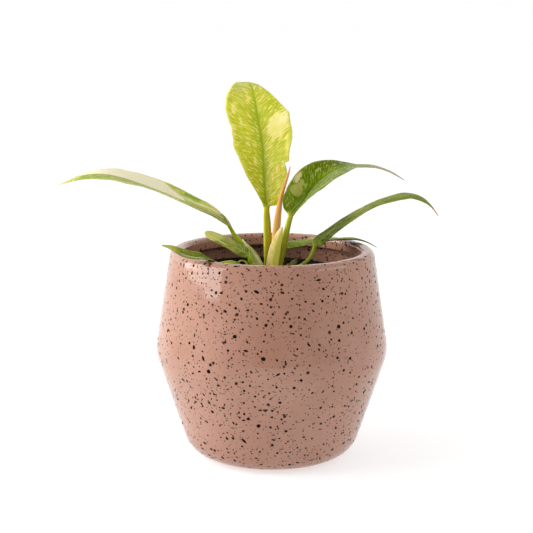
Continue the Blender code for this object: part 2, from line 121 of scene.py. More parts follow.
# ---- meshes -----------------------------------------------------------------------------------------
def solid(name, verts, faces, points=None, per_face=None, uv=None, slot=None, node=None, mats=(), which=None):
    """One piece of the object from points in mm, faces out, with its attributes, UVs and materials."""
    verts = np.asarray(verts, float)
    quads = np.array([f for f in faces if len(f) == 4])
    tri_volume = 0.0
    if len(quads):
        a, b, c, d = (verts[quads[:, k]] for k in range(4))
        tri_volume += float((a * np.cross(b, c)).sum() + (a * np.cross(c, d)).sum())
    for f in faces:
        if len(f) != 4:
            a = verts[f[0]]
            for k in range(1, len(f) - 1):
                tri_volume += float(np.dot(a, np.cross(verts[f[k]], verts[f[k + 1]])))
    if tri_volume < 0:
        faces = [tuple(reversed(f)) for f in faces]
        if uv is not None:
            uv = [list(reversed(u)) for u in uv]
    mesh = bpy.data.meshes.new(name)
    mesh.from_pydata((verts * MM).tolist(), [], [tuple(int(i) for i in f) for f in faces])
    mesh.polygons.foreach_set("use_smooth", [True] * len(mesh.polygons))
    for key, values in (points or {}).items():
        values = np.asarray(values, np.float32)
        if values.ndim == 2:
            mesh.attributes.new(key, "FLOAT_VECTOR", "POINT").data.foreach_set("vector", values.ravel())
        else:
            mesh.attributes.new(key, "FLOAT", "POINT").data.foreach_set("value", values)
    for key, values in (per_face or {}).items():
        values = np.asarray(values, np.float32)
        mesh.attributes.new(key, "FLOAT_VECTOR", "FACE").data.foreach_set("vector", values.ravel())
    if uv is not None:
        layer = mesh.uv_layers.new(name="UVMap")
        layer.data.foreach_set("uv", np.asarray([c for u in uv for c in u], np.float32).ravel())
    for m in mats:
        mesh.materials.append(m)
    if which is not None:
        mesh.polygons.foreach_set("material_index", which)
    mesh.update()
    ob = bpy.data.objects.new(name, mesh)
    scene.collection.objects.link(ob)
    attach(ob, "root")
    if node:
        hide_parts(*([node] if isinstance(node, str) else node))
    return ob


def ring_faces(rows, around, closed=True, caps=True):
    """Faces of a grid of rows x around points, closed round, with an n-gon at each end."""
    faces = []
    for i in range(rows - 1):
        for k in range(around if closed else around - 1):
            m = (k + 1) % around
            faces.append((i * around + k, i * around + m, (i + 1) * around + m, (i + 1) * around + k))
    if caps:
        faces.append(tuple(range(around - 1, -1, -1)))
        faces.append(tuple((rows - 1) * around + k for k in range(around)))
    return faces


# ---- shader nodes -----------------------------------------------------------------------------------
class Shader:
    """A small hand for building node trees."""

    def __init__(self, name, world=False):
        if world:
            self.owner = bpy.data.worlds.new(name)
        else:
            self.owner = bpy.data.materials.new(name)
        self.owner.use_nodes = True
        self.tree = self.owner.node_tree
        self.tree.nodes.clear()

    def put(self, socket, value):
        if isinstance(value, bpy.types.NodeSocket):
            self.tree.links.new(value, socket)
        elif value is not None:
            if hasattr(socket.default_value, "__len__") and not hasattr(value, "__len__"):
                value = [value] * len(socket.default_value)
            elif hasattr(socket.default_value, "__len__") and len(socket.default_value) < len(value):
                value = value[: len(socket.default_value)]
            socket.default_value = value

    def node(self, kind, out=0, props=None, **inputs):
        n = self.tree.nodes.new(kind)
        for k, v in (props or {}).items():
            setattr(n, k, v)
        for k, v in inputs.items():
            key = int(k[1:]) if k[0] == "i" and k[1:].isdigit() else k.replace("_", " ")
            self.put(n.inputs[key], v)
        self.last = n
        return n.outputs[out]

    def math(self, op, a, b=None, c=None, clamp=False):
        n = self.tree.nodes.new("ShaderNodeMath")
        n.operation, n.use_clamp = op, clamp
        for i, v in enumerate((a, b, c)):
            if v is not None:
                self.put(n.inputs[i], v)
        return n.outputs[0]

    def vec(self, op, a, b=None, out=0):
        n = self.tree.nodes.new("ShaderNodeVectorMath")
        n.operation = op
        self.put(n.inputs[0], a)
        if b is not None:
            self.put(n.inputs["Scale"] if op == "SCALE" else n.inputs[1], b)
        return n.outputs[out]

    def attribute(self, name, out="Vector"):
        n = self.tree.nodes.new("ShaderNodeAttribute")
        n.attribute_type, n.attribute_name = "GEOMETRY", name
        return n.outputs[out]

    def split(self, v):
        n = self.tree.nodes.new("ShaderNodeSeparateXYZ")
        self.put(n.inputs[0], v)
        return n.outputs[0], n.outputs[1], n.outputs[2]

    def join(self, x=0.0, y=0.0, z=0.0):
        n = self.tree.nodes.new("ShaderNodeCombineXYZ")
        for i, v in enumerate((x, y, z)):
            self.put(n.inputs[i], v)
        return n.outputs[0]

    def mix(self, factor, a, b, blend="MIX"):
        n = self.tree.nodes.new("ShaderNodeMix")
        n.data_type, n.blend_type, n.clamp_factor = "RGBA", blend, True
        self.put(n.inputs[0], factor)
        self.put(n.inputs[6], a)
        self.put(n.inputs[7], b)
        return n.outputs[2]

    def ramp(self, value, low, high, lo=0.0, hi=1.0, kind="SMOOTHSTEP"):
        n = self.tree.nodes.new("ShaderNodeMapRange")
        n.interpolation_type, n.clamp = kind, True
        for i, v in enumerate((value, low, high, lo, hi)):
            self.put(n.inputs[i], v)
        return n.outputs[0]

    def noise(self, vector, scale, detail=2.0, rough=0.5, distort=0.0, out=0, dims="3D"):
        n = self.tree.nodes.new("ShaderNodeTexNoise")
        n.noise_dimensions = dims
        self.put(n.inputs["Vector"], vector)
        n.inputs["Scale"].default_value = scale
        n.inputs["Detail"].default_value = detail
        n.inputs["Roughness"].default_value = rough
        n.inputs["Distortion"].default_value = distort
        return n.outputs[out]

    def voronoi(self, vector, scale, feature="F1", out="Distance", randomness=1.0):
        n = self.tree.nodes.new("ShaderNodeTexVoronoi")
        n.feature = feature
        self.put(n.inputs["Vector"], vector)
        n.inputs["Scale"].default_value = scale
        n.inputs["Randomness"].default_value = randomness
        return n.outputs[out], n.outputs["Color"]

    def bump(self, height, distance, strength=1.0, normal=None):
        n = self.tree.nodes.new("ShaderNodeBump")
        n.inputs["Strength"].default_value = strength
        n.inputs["Distance"].default_value = distance
        self.put(n.inputs["Height"], height)
        if normal is not None:
            self.put(n.inputs["Normal"], normal)
        return n.outputs[0]

    def surface(self, colour, rough, normal=None, **fixed):
        n = self.tree.nodes.new("ShaderNodeBsdfPrincipled")
        self.put(n.inputs["Base Color"], colour)
        self.put(n.inputs["Roughness"], rough)
        if normal is not None:
            self.put(n.inputs["Normal"], normal)
        for k, v in fixed.items():
            self.put(n.inputs[k.replace("_", " ")], v)
        out = self.tree.nodes.new("ShaderNodeOutputMaterial")
        self.tree.links.new(n.outputs[0], out.inputs[0])
        return self.owner

    def here(self):
        """Object coordinates, which are the row's frame in metres."""
        n = self.tree.nodes.new("ShaderNodeTexCoord")
        return n.outputs["Object"]


# ---- the leaves' shapes -----------------------------------------------------------------------------
# stalk rows: x, y, z, radius
# blade rows: x, y, z of the midrib, width of half a, width of half b, turn of a, turn of b, then where
#             the margin lags behind its midrib point: sweep of a, sweep of b (mm)
# side: the rough direction of half a. A positive turn swings that half toward the viewer.
LEAVES = {
    "leaf_upright": dict(
        side=(1.0, 0.0, 0.18),
        stalk=[(-3.0, 6.2, 126.6, 2.5), (-3.2, 6.0, 138.0, 2.6), (-3.4, 5.6, 152.0, 2.7),
               (-3.8, 5.2, 162.0, 2.4), (-4.1, 5.0, 168.5, 2.0)],
        blade=[(-4.1, 5.0, 170.5, 2.2, 2.2, 0, 0, 0, 0),
               (-4.3, 4.9, 173.5, 8.0, 2.9, 12, 12, 1.5, 0),
               (-4.6, 4.7, 177.5, 11.3, 4.6, 14, 14, 0, 0),
               (-5.0, 4.4, 182.5, 13.4, 6.8, 14, 14, 0, 0),
               (-5.4, 4.0, 189.0, 16.0, 10.4, 14, 14, 0, 0),
               (-5.9, 3.3, 197.0, 15.6, 14.1, 12, 14, 0, 0),
               (-6.1, 3.0, 200.6, 14.6, 15.4, 10, 14, 0, 0),
               (-6.2, 2.9, 202.6, 17.6, 16.1, 10, 14, 0, 0),
               (-6.5, 2.5, 209.0, 18.2, 18.2, 10, 12, 0, 0),
               (-7.5, 2.0, 217.5, 21.4, 20.3, 10, 12, 0, 0),
               (-9.3, 1.0, 227.0, 21.8, 19.2, 10, 12, 1, 0),
               (-10.5, 0.4, 234.0, 21.2, 20.2, 8, 12, 2, 0),
               (-11.5, 0.2, 239.5, 18.8, 20.6, 6, 10, 3, -1),
               (-12.4, 0.8, 244.6, 14.8, 19.2, 2, 7, 4, -3),
               (-13.8, 2.4, 250.0, 9.8, 16.4, -5, 5, 4.2, -3),
               (-15.6, 5.0, 253.9, 5.6, 13.2, -20, 10, 2.6, -1),
               (-17.2, 9.0, 255.0, 3.0, 8.2, -26, 6, 1.0, 0),
               (-17.6, 14.8, 251.4, 0.5, 0.5, 0, 0, 0, 0)],
        curl=(6, 6), front=1),
    "leaf_right_near": dict(
        side=(-0.55, 0.0, 1.0),
        stalk=[(4.6, -3.4, 126.6, 2.3), (5.0, -3.5, 133.0, 2.4), (6.8, -3.6, 142.5, 2.4),
               (8.8, -4.0, 151.3, 2.2), (10.3, -4.5, 158.6, 2.0), (11.9, -4.9, 164.8, 1.8)],
        blade=[(12.5, -5.0, 166.9, 2.6, 1.9, 0, 10, 1.0, 0),
               (13.8, -5.1, 168.6, 6.6, 1.7, 2, 40, 2.0, 0),
               (16.8, -5.5, 172.0, 12.4, 4.6, 4, 74, 1.0, 0),
               (20.5, -6.0, 175.9, 14.4, 8.6, 4, 84, 0, 0),
               (23.2, -6.2, 180.0, 14.8, 12.0, 2, 82, 0, 0),
               (26.6, -6.5, 184.8, 15.0, 14.0, 0, 78, 0, 0),
               (33.2, -7.0, 191.6, 13.6, 14.5, -22, 72, 0, 0),
               (41.0, -7.2, 197.3, 13.0, 13.5, -62, 72, 0, 0),
               (49.7, -7.2, 200.1, 11.6, 12.0, -83, 78, 0, 0),
               (58.5, -6.8, 200.4, 8.6, 8.4, -90, 88, 0, 0),
               (68.6, -6.2, 199.9, 5.0, 5.0, -86, 84, 0, 0),
               (78.8, -5.6, 196.6, 2.2, 2.2, -82, 78, 0, 0),
               (88.4, -5.0, 190.9, 0.5, 0.5, -70, 70, 0, 0)],
        curl=(4, 6), front=-1),
    "leaf_left_long": dict(
        side=(0.45, 0.0, 1.0),
        stalk=[(-7.0, 2.6, 126.6, 2.3), (-9.4, 3.2, 132.9, 2.3), (-14.6, 3.4, 140.3, 2.1),
               (-22.2, 3.0, 147.1, 1.8), (-26.0, 2.0, 151.8, 1.5), (-28.6, 0.6, 156.7, 1.3)],
        blade=[(-29.4, -0.6, 158.5, 1.6, 1.4, -20, 60, 0, 0),
               (-33.8, -2.0, 162.1, 5.0, 4.4, -56, 84, 0, 0),
               (-38.9, -3.4, 165.7, 9.0, 8.6, -70, 94, 0, 0),
               (-49.0, -5.0, 170.5, 12.8, 12.6, -72, 95, 0, 0),
               (-59.0, -6.0, 175.2, 14.8, 14.4, -74, 95, 0, 0),
               (-72.3, -8.0, 181.3, 16.0, 15.0, -75, 94, 0, 0),
               (-85.5, -10.0, 186.7, 15.0, 14.4, -75, 91, 0, 0),
               (-98.7, -12.0, 191.6, 13.2, 12.8, -77, 85, 0, 0),
               (-111.8, -14.0, 194.7, 10.4, 10.6, -83, 79, 0, 0),
               (-124.9, -16.0, 194.3, 6.4, 6.8, -90, 76, 0, 0),
               (-133.4, -17.0, 191.5, 3.0, 3.2, -88, 76, 0, 0),
               (-142.0, -18.0, 188.2, 0.5, 0.5, -84, 76, 0, 0)],
        curl=(6, 6), front=1),
    "leaf_right_long": dict(
        side=(-0.55, 0.0, 1.0),
        stalk=[(13.6, 3.4, 126.6, 1.5), (20.0, 4.2, 130.4, 1.35), (24.8, 5.2, 134.2, 1.25),
               (27.6, 6.4, 138.6, 1.25), (28.8, 7.2, 142.0, 1.3)],
        blade=[(29.4, 7.6, 143.8, 3.0, 3.0, -30, 30, 0, 0),
               (32.4, 8.2, 146.8, 5.4, 5.4, -56, 56, 0, 0),
               (38.2, 9.0, 151.4, 8.4, 8.6, -78, 76, 0, 0),
               (46.4, 10.2, 157.5, 10.8, 11.0, -85, 82, 0, 0),
               (54.8, 11.2, 162.6, 12.0, 12.2, -86, 85, 0, 0),
               (66.9, 12.0, 169.7, 12.2, 12.2, -90, 88, 0, 0),
               (80.5, 13.0, 175.0, 10.8, 10.8, -88, 84, 0, 0),
               (94.3, 14.0, 177.4, 8.4, 8.6, -82, 78, 0, 0),
               (104.8, 15.0, 173.9, 5.4, 5.6, -74, 68, 0, 0),
               (110.4, 15.6, 168.8, 3.0, 3.0, -68, 64, 0, 0),
               (114.4, 16.0, 163.4, 0.5, 0.5, -60, 60, 0, 0)],
        curl=(4, 8), front=-1),
    "leaf_left_short": dict(
        side=(0.5, 0.0, 1.0),
        stalk=[(-12.8, -9.0, 126.0, 1.7), (-14.4, -9.4, 132.0, 1.7), (-15.0, -9.4, 136.4, 1.7)],
        blade=[(-15.4, -9.0, 138.6, 3.0, 3.0, -40, 40, 0, 0),
               (-17.8, -8.2, 140.8, 4.6, 4.6, -50, 44, 0, 0),
               (-21.2, -7.0, 142.6, 5.2, 5.2, -56, 50, 0, 0),
               (-25.4, -4.8, 144.4, 5.8, 4.9, -64, 56, 0, 0),
               (-30.6, -1.8, 146.7, 7.0, 6.0, -70, 64, 0, 0),
               (-36.2, 1.4, 149.1, 6.6, 6.2, -70, 64, 0, 0),
               (-41.2, 4.2, 151.1, 4.8, 5.0, -64, 60, 0, 0),
               (-44.6, 6.2, 152.3, 2.6, 2.8, -52, 48, 0, 0),
               (-46.2, 7.4, 152.7, 0.6, 0.6, -30, 20, 0, 0)],
        curl=(4, 4), front=1),
    "leaf_left_low": dict(
        side=(0.3, 0.0, 1.0),
        stalk=[(-9.0, -13.6, 125.2, 1.5), (-15.4, -19.6, 128.4, 1.5), (-23.6, -28.0, 132.2, 1.5)],
        blade=[(-27.6, -31.6, 134.2, 1.8, 1.8, -40, 40, 0, 0),
               (-33.2, -37.0, 137.4, 3.0, 3.0, -70, 70, 0, 0),
               (-39.0, -43.4, 141.8, 4.2, 4.2, -80, 94, 0, 0),
               (-43.6, -50.0, 145.5, 6.2, 5.2, -80, 88, 0, 0),
               (-51.6, -54.4, 147.7, 6.4, 5.6, -80, 74, 0, 0),
               (-58.0, -57.4, 150.2, 5.6, 5.6, -78, 68, 0, 0),
               (-64.0, -60.0, 153.3, 3.6, 3.6, -76, 68, 0, 0),
               (-67.6, -61.8, 154.7, 1.6, 1.6, -70, 70, 0, 0),
               (-70.6, -63.4, 155.6, 0.5, 0.5, -60, 60, 0, 0)],
        curl=(4, 4), front=1),
    "leaf_rear_right": dict(
        side=(0.0, 0.0, 1.0),
        stalk=[(3.4, 12.2, 125.2, 1.4), (4.0, 12.4, 131.6, 1.4), (6.4, 12.8, 138.4, 1.4)],
        blade=[(8.6, 13.2, 141.4, 2.0, 2.0, -50, 50, 0, 0),
               (12.4, 14.0, 142.8, 3.8, 3.8, -66, 66, 0, 0),
               (18.0, 15.6, 143.7, 6.0, 6.0, -78, 78, 0, 0),
               (26.1, 18.0, 144.8, 7.2, 7.2, -87, 90, 0, 0),
               (40.2, 22.4, 145.5, 7.8, 7.8, -93, 97, 0, 0),
               (51.6, 26.0, 145.1, 6.4, 6.4, -92, 96, 0, 0),
               (58.8, 28.0, 144.7, 4.6, 4.6, -89, 93, 0, 0),
               (66.2, 30.2, 142.5, 2.6, 2.6, -88, 88, 0, 0),
               (73.6, 33.0, 138.2, 0.5, 0.5, -80, 80, 0, 0)],
        curl=(2, 2), front=-1),
    "leaf_front_small": dict(
        side=(0.2, 0.2, 1.0),
        stalk=[(-19.6, -14.0, 125.0, 1.1), (-19.4, -15.0, 130.6, 1.1)],
        blade=[(-20.8, -15.8, 132.8, 1.2, 1.2, -20, 10, 0, 0),
               (-23.6, -17.0, 134.8, 2.2, 2.2, -40, 24, 0, 0),
               (-27.4, -18.0, 136.2, 2.6, 2.6, -60, 40, 0, 0),
               (-31.2, -19.2, 136.5, 2.0, 2.0, -66, 54, 0, 0),
               (-35.0, -20.4, 136.6, 0.5, 0.5, -60, 60, 0, 0)],
        curl=(2, 2), front=1),
    "sheath_front": dict(
        side=(1.0, 0.0, 0.0),
        stalk=[],
        blade=[(-0.4, -8.6, 126.6, 4.6, 5.4, -8, -28, 0, 0),
               (-0.2, -8.4, 133.0, 4.6, 5.4, -8, -28, 0, 0),
               (0.9, -8.2, 140.0, 4.5, 5.2, -8, -28, 0, 0),
               (2.6, -8.0, 147.2, 3.7, 4.5, -8, -26, 0, 0),
               (4.5, -7.8, 153.2, 2.5, 3.2, -8, -22, 0, 0),
               (5.9, -7.6, 156.8, 1.5, 1.8, -8, -18, 0, 0),
               (6.7, -7.4, 159.0, 0.4, 0.4, -10, -10, 0, 0)],
        curl=(-20, -34), front=1),
    "sheath_left": dict(
        side=(1.0, 0.0, 0.6),
        stalk=[],
        blade=[(-7.6, -4.0, 126.8, 3.6, 3.4, -20, -20, 0, 0),
               (-9.6, -4.0, 131.8, 3.4, 3.2, -20, -20, 0, 0),
               (-12.0, -4.0, 136.6, 2.6, 2.6, -20, -20, 0, 0),
               (-14.8, -3.6, 141.2, 1.5, 1.5, -16, -16, 0, 0),
               (-18.0, -3.0, 146.0, 0.9, 0.9, -10, -10, 0, 0),
               (-20.3, -2.6, 149.5, 0.4, 0.4, 0, 0, 0, 0)],
        curl=(-16, -16), front=1),
    "sheath_dry": dict(
        side=(0.6, 0.0, -0.6),
        stalk=[],
        blade=[(10.0, 9.6, 125.6, 2.2, 2.2, -10, -10, 0, 0),
               (13.4, 10.0, 129.6, 2.2, 2.2, -10, -10, 0, 0),
               (16.4, 10.2, 132.4, 1.6, 1.6, -10, -10, 0, 0),
               (20.0, 10.4, 135.4, 0.4, 0.4, 0, 0, 0, 0)],
        curl=(-20, -20), front=1),
}

FINE = 0.62        # mm between stations
HALF = 17          # stations across each half of a blade


def sections(side, stalk, blade, curl, front, root, fine=FINE):
    """Every station of a leaf: place, frame, widths and turns, as smooth curves through the table's rows."""
    first = Vector(stalk[0][:3]) if stalk else Vector(blade[0][:3])
    rows = []
    r0 = stalk[0][3] if stalk else 1.0
    if root:
        rows.append((*(first - Vector((0, 0, root)))[:], r0 * 1.12, r0 * 1.12, 0, 0, 0, 0, r0 * 1.12, 0.0))
    for x, y, z, r in stalk:
        rows.append((x, y, z, r, r, 0, 0, 0, 0, r, 0.0))
    n_stalk = len(rows)
    length = sum((Vector(a[:3]) - Vector(b[:3])).length for a, b in zip(blade[:-1], blade[1:]))
    end_r = stalk[-1][3] if stalk else 0.5
    run = 0.0
    for i, row in enumerate(blade):
        if i:
            run += (Vector(row[:3]) - Vector(blade[i - 1][:3])).length
        t = run / length
        rows.append((*row[:9], (end_r * 0.92) * (1 - t) ** 0.85 + 0.16, 1.0 if (i or not stalk) else 0.55))
    rows = np.array(rows, float)
    u = np.concatenate([[0.0], np.cumsum(np.linalg.norm(np.diff(rows[:, :3], axis=0), axis=1))])
    count = max(24, int(u[-1] / fine))
    # The tip would get closer stations here, but the term is multiplied by nought, so the stations stay evenly spaced.
    t = np.linspace(0, 1, count)
    t = t + 0.10 * np.sin(math.pi * t) * t * (1 - t) * 0
    s = u[-1] * t
    place = through(u, rows[:, :3], s)
    along = np.gradient(place, s, axis=0)
    along /= np.linalg.norm(along, axis=1)[:, None]
    if not root and stalk:
        along[0] = (0, 0, 1)
    values = [steady(u, rows[:, k], s) for k in range(3, 11)]
    across = np.array(side, float)[None, :] - along * (along @ np.array(side, float))[:, None]
    across /= np.linalg.norm(across, axis=1)[:, None]
    toward = np.cross(across, along) * front
    start = u[n_stalk] if n_stalk else 0.0
    return s - start, u[-1] - start, place, along, across, toward, values


def leaf(name, side, stalk, blade, curl, front, root=4.0, thick=0.46, ripple=0.5, quilt=0.06, vein=0.85,
         notch=(), seed=1, groove=0.3, wing=0.0, spacing=4.2, fine=FINE, rib=1.0):
    """Points, faces and vein coordinates of one leaf, stalk and blade together, in mm."""
    s, length, place, along, across, toward, values = sections(side, stalk, blade, curl, front, root, fine)
    wa, wb, ta, tb, sa, sb, rr, flat = values
    n = 2 * HALF + 1
    t = np.linspace(0, 1, HALF + 1)
    spread = 0.42 * t + 0.58 * t**1.8
    verts, lf, vq, kind = [], [], [], []
    rows = len(s)
    for i in range(rows):
        along_part = float(np.clip(s[i] / length, 0, 1))
        f = float(np.clip(flat[i], 0, 1))
        f = f * f * (3 - 2 * f)
        line, normals, lateral = {}, {}, {}
        for half, w0, turn, bend, sweep, sign in (("a", wa[i], ta[i], curl[0], sa[i], 1.0),
                                                  ("b", wb[i], tb[i], curl[1], sb[i], -1.0)):
            w = float(w0)
            edge_wave = 0.0
            if s[i] > 0:
                live = math.sin(math.pi * min(1.0, along_part)) ** 0.5 * min(1.0, w / 7.0)
                k = seed * 7.3 + (0 if sign > 0 else 40)
                w *= 1 + 0.022 * live * float(grain(s[i] / 4.6, k, 0, seed)) \
                    + 0.012 * live * float(grain(s[i] / 1.7, k, 3, seed))
                edge_wave = ripple * live * (float(grain(s[i] / 9.5, k, 7, seed))
                                             + 0.45 * float(grain(s[i] / 4.1, k, 9, seed)))
                for where, which, depth, wide in notch:
                    if which == half:
                        w -= depth * math.exp(-((s[i] - where) / wide) ** 2)
            x = spread * w
            phi = np.radians(turn + bend * spread)
            d = sign * across[i][None, :] * np.cos(phi)[:, None] + toward[i][None, :] * np.sin(phi)[:, None]
            nn = toward[i][None, :] * np.cos(phi)[:, None] - sign * across[i][None, :] * np.sin(phi)[:, None]
            dx = np.diff(x)
            path = np.vstack([np.zeros(3), np.cumsum((d[:-1] + d[1:]) / 2 * dx[:, None], axis=0)])
            path = path - along[i][None, :] * (sweep * spread**2)[:, None]
            path = path + nn * (edge_wave * spread**2.2)[:, None]
            line[half], normals[half], lateral[half] = path, nn, x
        middle = normals["a"][0] + normals["b"][0]
        if np.linalg.norm(middle) < 0.2:
            middle = toward[i]
        middle = middle / np.linalg.norm(middle)
        pts, nrm, xs, part = [], [], [], []
        for half, order in (("b", range(HALF, 0, -1)), ("a", range(0, HALF + 1))):
            for k in order:
                x = lateral[half][k]
                blend = float(step(0, 2.2 + 0.5 * rr[i], x))
                m = middle * (1 - blend) + normals[half][k] * blend
                m = m / np.linalg.norm(m)
                pts.append(place[i] + line[half][k])
                nrm.append(m)
                xs.append(x if half == "a" else -x)
                part.append(spread[k] if half == "a" else -spread[k])
        pts, nrm, xs, part = np.array(pts), np.array(nrm), np.array(xs), np.array(part)
        ax = np.abs(xs)
        small = min(1.0, max(wa[i], wb[i]) / 1.6)
        th = thick * small * np.maximum(0.2, (1 - (0.99 * np.abs(part)) ** 7)) ** 0.5
        ribr = rr[i] * rib
        reach = 1.3 * ribr + 0.05
        under = ribr * 0.95 * np.maximum(0.0, 1 - (ax / reach) ** 2) ** 1.2
        dip = groove * min(1.0, ribr / 1.2) * np.exp(-(ax / (0.45 * ribr + 0.28)) ** 2)
        q = s[i] - ax * (vein - 0.12 * np.abs(part))
        live = step(0, 6, s[i]) * (1 - step(0.85, 1, along_part))
        ridge = quilt * live * np.cos(2 * math.pi * q / spacing + 1.2 * np.sign(xs)) * step(0.6, 3.0, ax) * (1 - step(0.8, 1.0, np.abs(part)))
        top = pts + nrm * (th / 2 - dip + ridge)[:, None]
        bottom = pts - nrm * (th / 2 + under - ridge)[:, None]
        if f < 1:
            a = math.pi * (1 - (np.arange(n) + 0.5) / n)
            r = rr[i] * (1 - 0.16 * np.exp(-((a - math.pi / 2) / 0.5) ** 2))
            round_top = place[i] + (across[i][None, :] * np.cos(a)[:, None] + toward[i][None, :] * np.sin(a)[:, None]) * r[:, None]
            round_low = place[i] + (across[i][None, :] * np.cos(a)[:, None] - toward[i][None, :] * np.sin(a)[:, None]) * rr[i]
            top = round_top * (1 - f) + top * f
            bottom = round_low * (1 - f) + bottom * f
        verts.append(np.vstack([top, bottom[::-1]]))
        for flag in (1.0, 0.0):
            row = np.stack([np.full(n, s[i]), xs * max(f, 0.25), part], axis=1)
            qq = np.stack([q, ax, np.sign(xs) * 20 + (0 if flag else 3)], axis=1)
            kk = np.stack([np.full(n, flag), np.exp(-(ax / (0.7 * ribr + 0.25)) ** 2) if s[i] > 0 else np.ones(n),
                           np.full(n, f)], axis=1)
            if not flag:
                row, qq, kk = row[::-1], qq[::-1], kk[::-1]
            lf.append(row), vq.append(qq), kind.append(kk)
    verts = np.vstack(verts)
    around = 2 * n
    return dict(name=name, verts=verts, faces=ring_faces(rows, around), lf=np.vstack(lf), vein=np.vstack(vq),
                kind=np.vstack(kind), length=length, rows=rows, around=around)


def painted(shape, strokes, gain=1.0):
    """The colour and cover of patches laid on a leaf, later ones over earlier ones.

    Each is s, x (mm along and across, x negative on half b), half length, half width, slant (mm forward
    per mm outward), colour, then how soft its edge is and how square its outline.
    """
    s, x = shape["lf"][:, 0], shape["lf"][:, 1]
    tone, cover, nearest = np.full((len(s), 3), 0.2), np.zeros(len(s)), np.full(len(s), 1e9)
    laid = []
    for cs, cx, ls, lx, slant, colour, *more in strokes:
        soft = more[0] if more else 0.35
        square = more[1] if len(more) > 1 else 2
        ds, dx = np.abs(s - cs - slant * (np.abs(x) - abs(cx))) / ls, np.abs(x - cx) / lx
        d = (np.minimum(ds, 40) ** square + np.minimum(dx, 40) ** square) ** (1 / square)
        colour = np.minimum(np.array(colour[:3]) * gain, 0.96)
        laid.append((1 - step(1 - soft, 1 + soft, d), colour))
        tone[d < nearest], nearest = colour, np.minimum(nearest, d)
    for w, colour in laid:
        tone = tone * (1 - w[:, None]) + colour * w[:, None]
        cover = cover * (1 - w) + w
    return tone, cover


def place_leaf(shape, look, node):
    gain = look.get("gain", 1.0)
    wash, wash_on = painted(shape, look.get("washes", ()), gain)
    tone, tone_on = painted(shape, look.get("strokes", ()), gain)
    points = {"lf": shape["lf"], "vein": shape["vein"], "kind": shape["kind"], "wash": wash, "tone": tone,
              "cover": np.stack([wash_on, tone_on, np.zeros(len(tone_on))], axis=1)}
    material = leaf_skin(node + "_skin", gain=gain, **look["skin"])
    return solid(shape["name"], shape["verts"], shape["faces"], points=points, node=node, slot=node, mats=[material])


# ---- the ceramic pot --------------------------------------------------------------------------------
POT_SHOULDER_R, POT_SHOULDER_Z, POT_FOOT_R = 80.0, 73.0, 55.7
POT_LIP_R, POT_H, POT_LIP_W, POT_LIP_BAND = 69.2, 142.9, 9.0, 8.2
POT_WALL, POT_FLOOR, POT_FOOT_ROUND, POT_SHOULDER_ROUND = 5.5, 8.0, 20.0, 30.0
NURSERY_X, NURSERY_Y, NURSERY_RIM_R, NURSERY_RIM_Z = -6.0, -1.0, 54.0, 127.5
NURSERY_BASE_R, NURSERY_WALL, NURSERY_BASE_Z = 36.0, 1.2, POT_FLOOR + 0.3
POT_TURNS = 240


def fillet(a, p, b, radius, steps):
    """Points of the arc that rounds corner p between a and b."""
    a, p, b = Vector(a), Vector(p), Vector(b)
    u, v = (a - p).normalized(), (b - p).normalized()
    angle = u.angle(v)
    back = radius / math.tan(angle / 2)
    centre = p + (u + v).normalized() * (radius / math.sin(angle / 2))
    start, end = p + u * back - centre, p + v * back - centre
    a0 = math.atan2(start.y, start.x)
    sweep = (math.atan2(end.y, end.x) - a0 + math.pi) % (2 * math.pi) - math.pi
    return [(centre.x + radius * math.cos(a0 + sweep * k / steps),
             centre.y + radius * math.sin(a0 + sweep * k / steps)) for k in range(steps + 1)]


def rounded(corners):
    """A profile from (r, z, rounding, steps) corners; the first and last stay sharp."""
    out = []
    for i, (r, z, radius, steps) in enumerate(corners):
        if radius and 0 < i < len(corners) - 1:
            out += fillet(corners[i - 1][:2], (r, z), corners[i + 1][:2], radius, steps)
        else:
            out.append((r, z))
    return out


def closer(profile, most):
    """The profile with its long spans cut to at most `most` mm."""
    out = [profile[0]]
    for a, b in zip(profile[:-1], profile[1:]):
        k = max(1, math.ceil(math.dist(a, b) / most))
        out += [(a[0] + (b[0] - a[0]) * j / k, a[1] + (b[1] - a[1]) * j / k) for j in range(1, k + 1)]
    return out


upper_slope = (POT_SHOULDER_R - POT_LIP_R) / (POT_H - POT_SHOULDER_Z)
undercut_z = POT_H - POT_LIP_BAND
undercut_r = POT_LIP_R + upper_slope * (POT_H - undercut_z) - POT_WALL
lip_inner_r = POT_LIP_R - POT_LIP_W
pot_profile = closer(rounded([
    (0.0, 0.0, 0, 0),
    (POT_FOOT_R, 0.0, POT_FOOT_ROUND, 16),
    (POT_SHOULDER_R, POT_SHOULDER_Z, POT_SHOULDER_ROUND, 14),
    (POT_LIP_R, POT_H, 5.0, 12),
    (lip_inner_r, POT_H, 3.0, 8),
    (lip_inner_r - 0.2, undercut_z, 1.2, 5),
    (undercut_r, undercut_z - 0.6, 1.6, 5),
    (POT_SHOULDER_R - POT_WALL - 0.3, POT_SHOULDER_Z, POT_SHOULDER_ROUND - POT_WALL, 10),
    (POT_FOOT_R - POT_WALL + 1.4, POT_FLOOR, POT_FOOT_ROUND - POT_WALL, 10),
    (0.0, POT_FLOOR, 0, 0),
]), 2.4)
pot_profile[0], pot_profile[-1] = (0.6, 0.0), (0.6, POT_FLOOR)

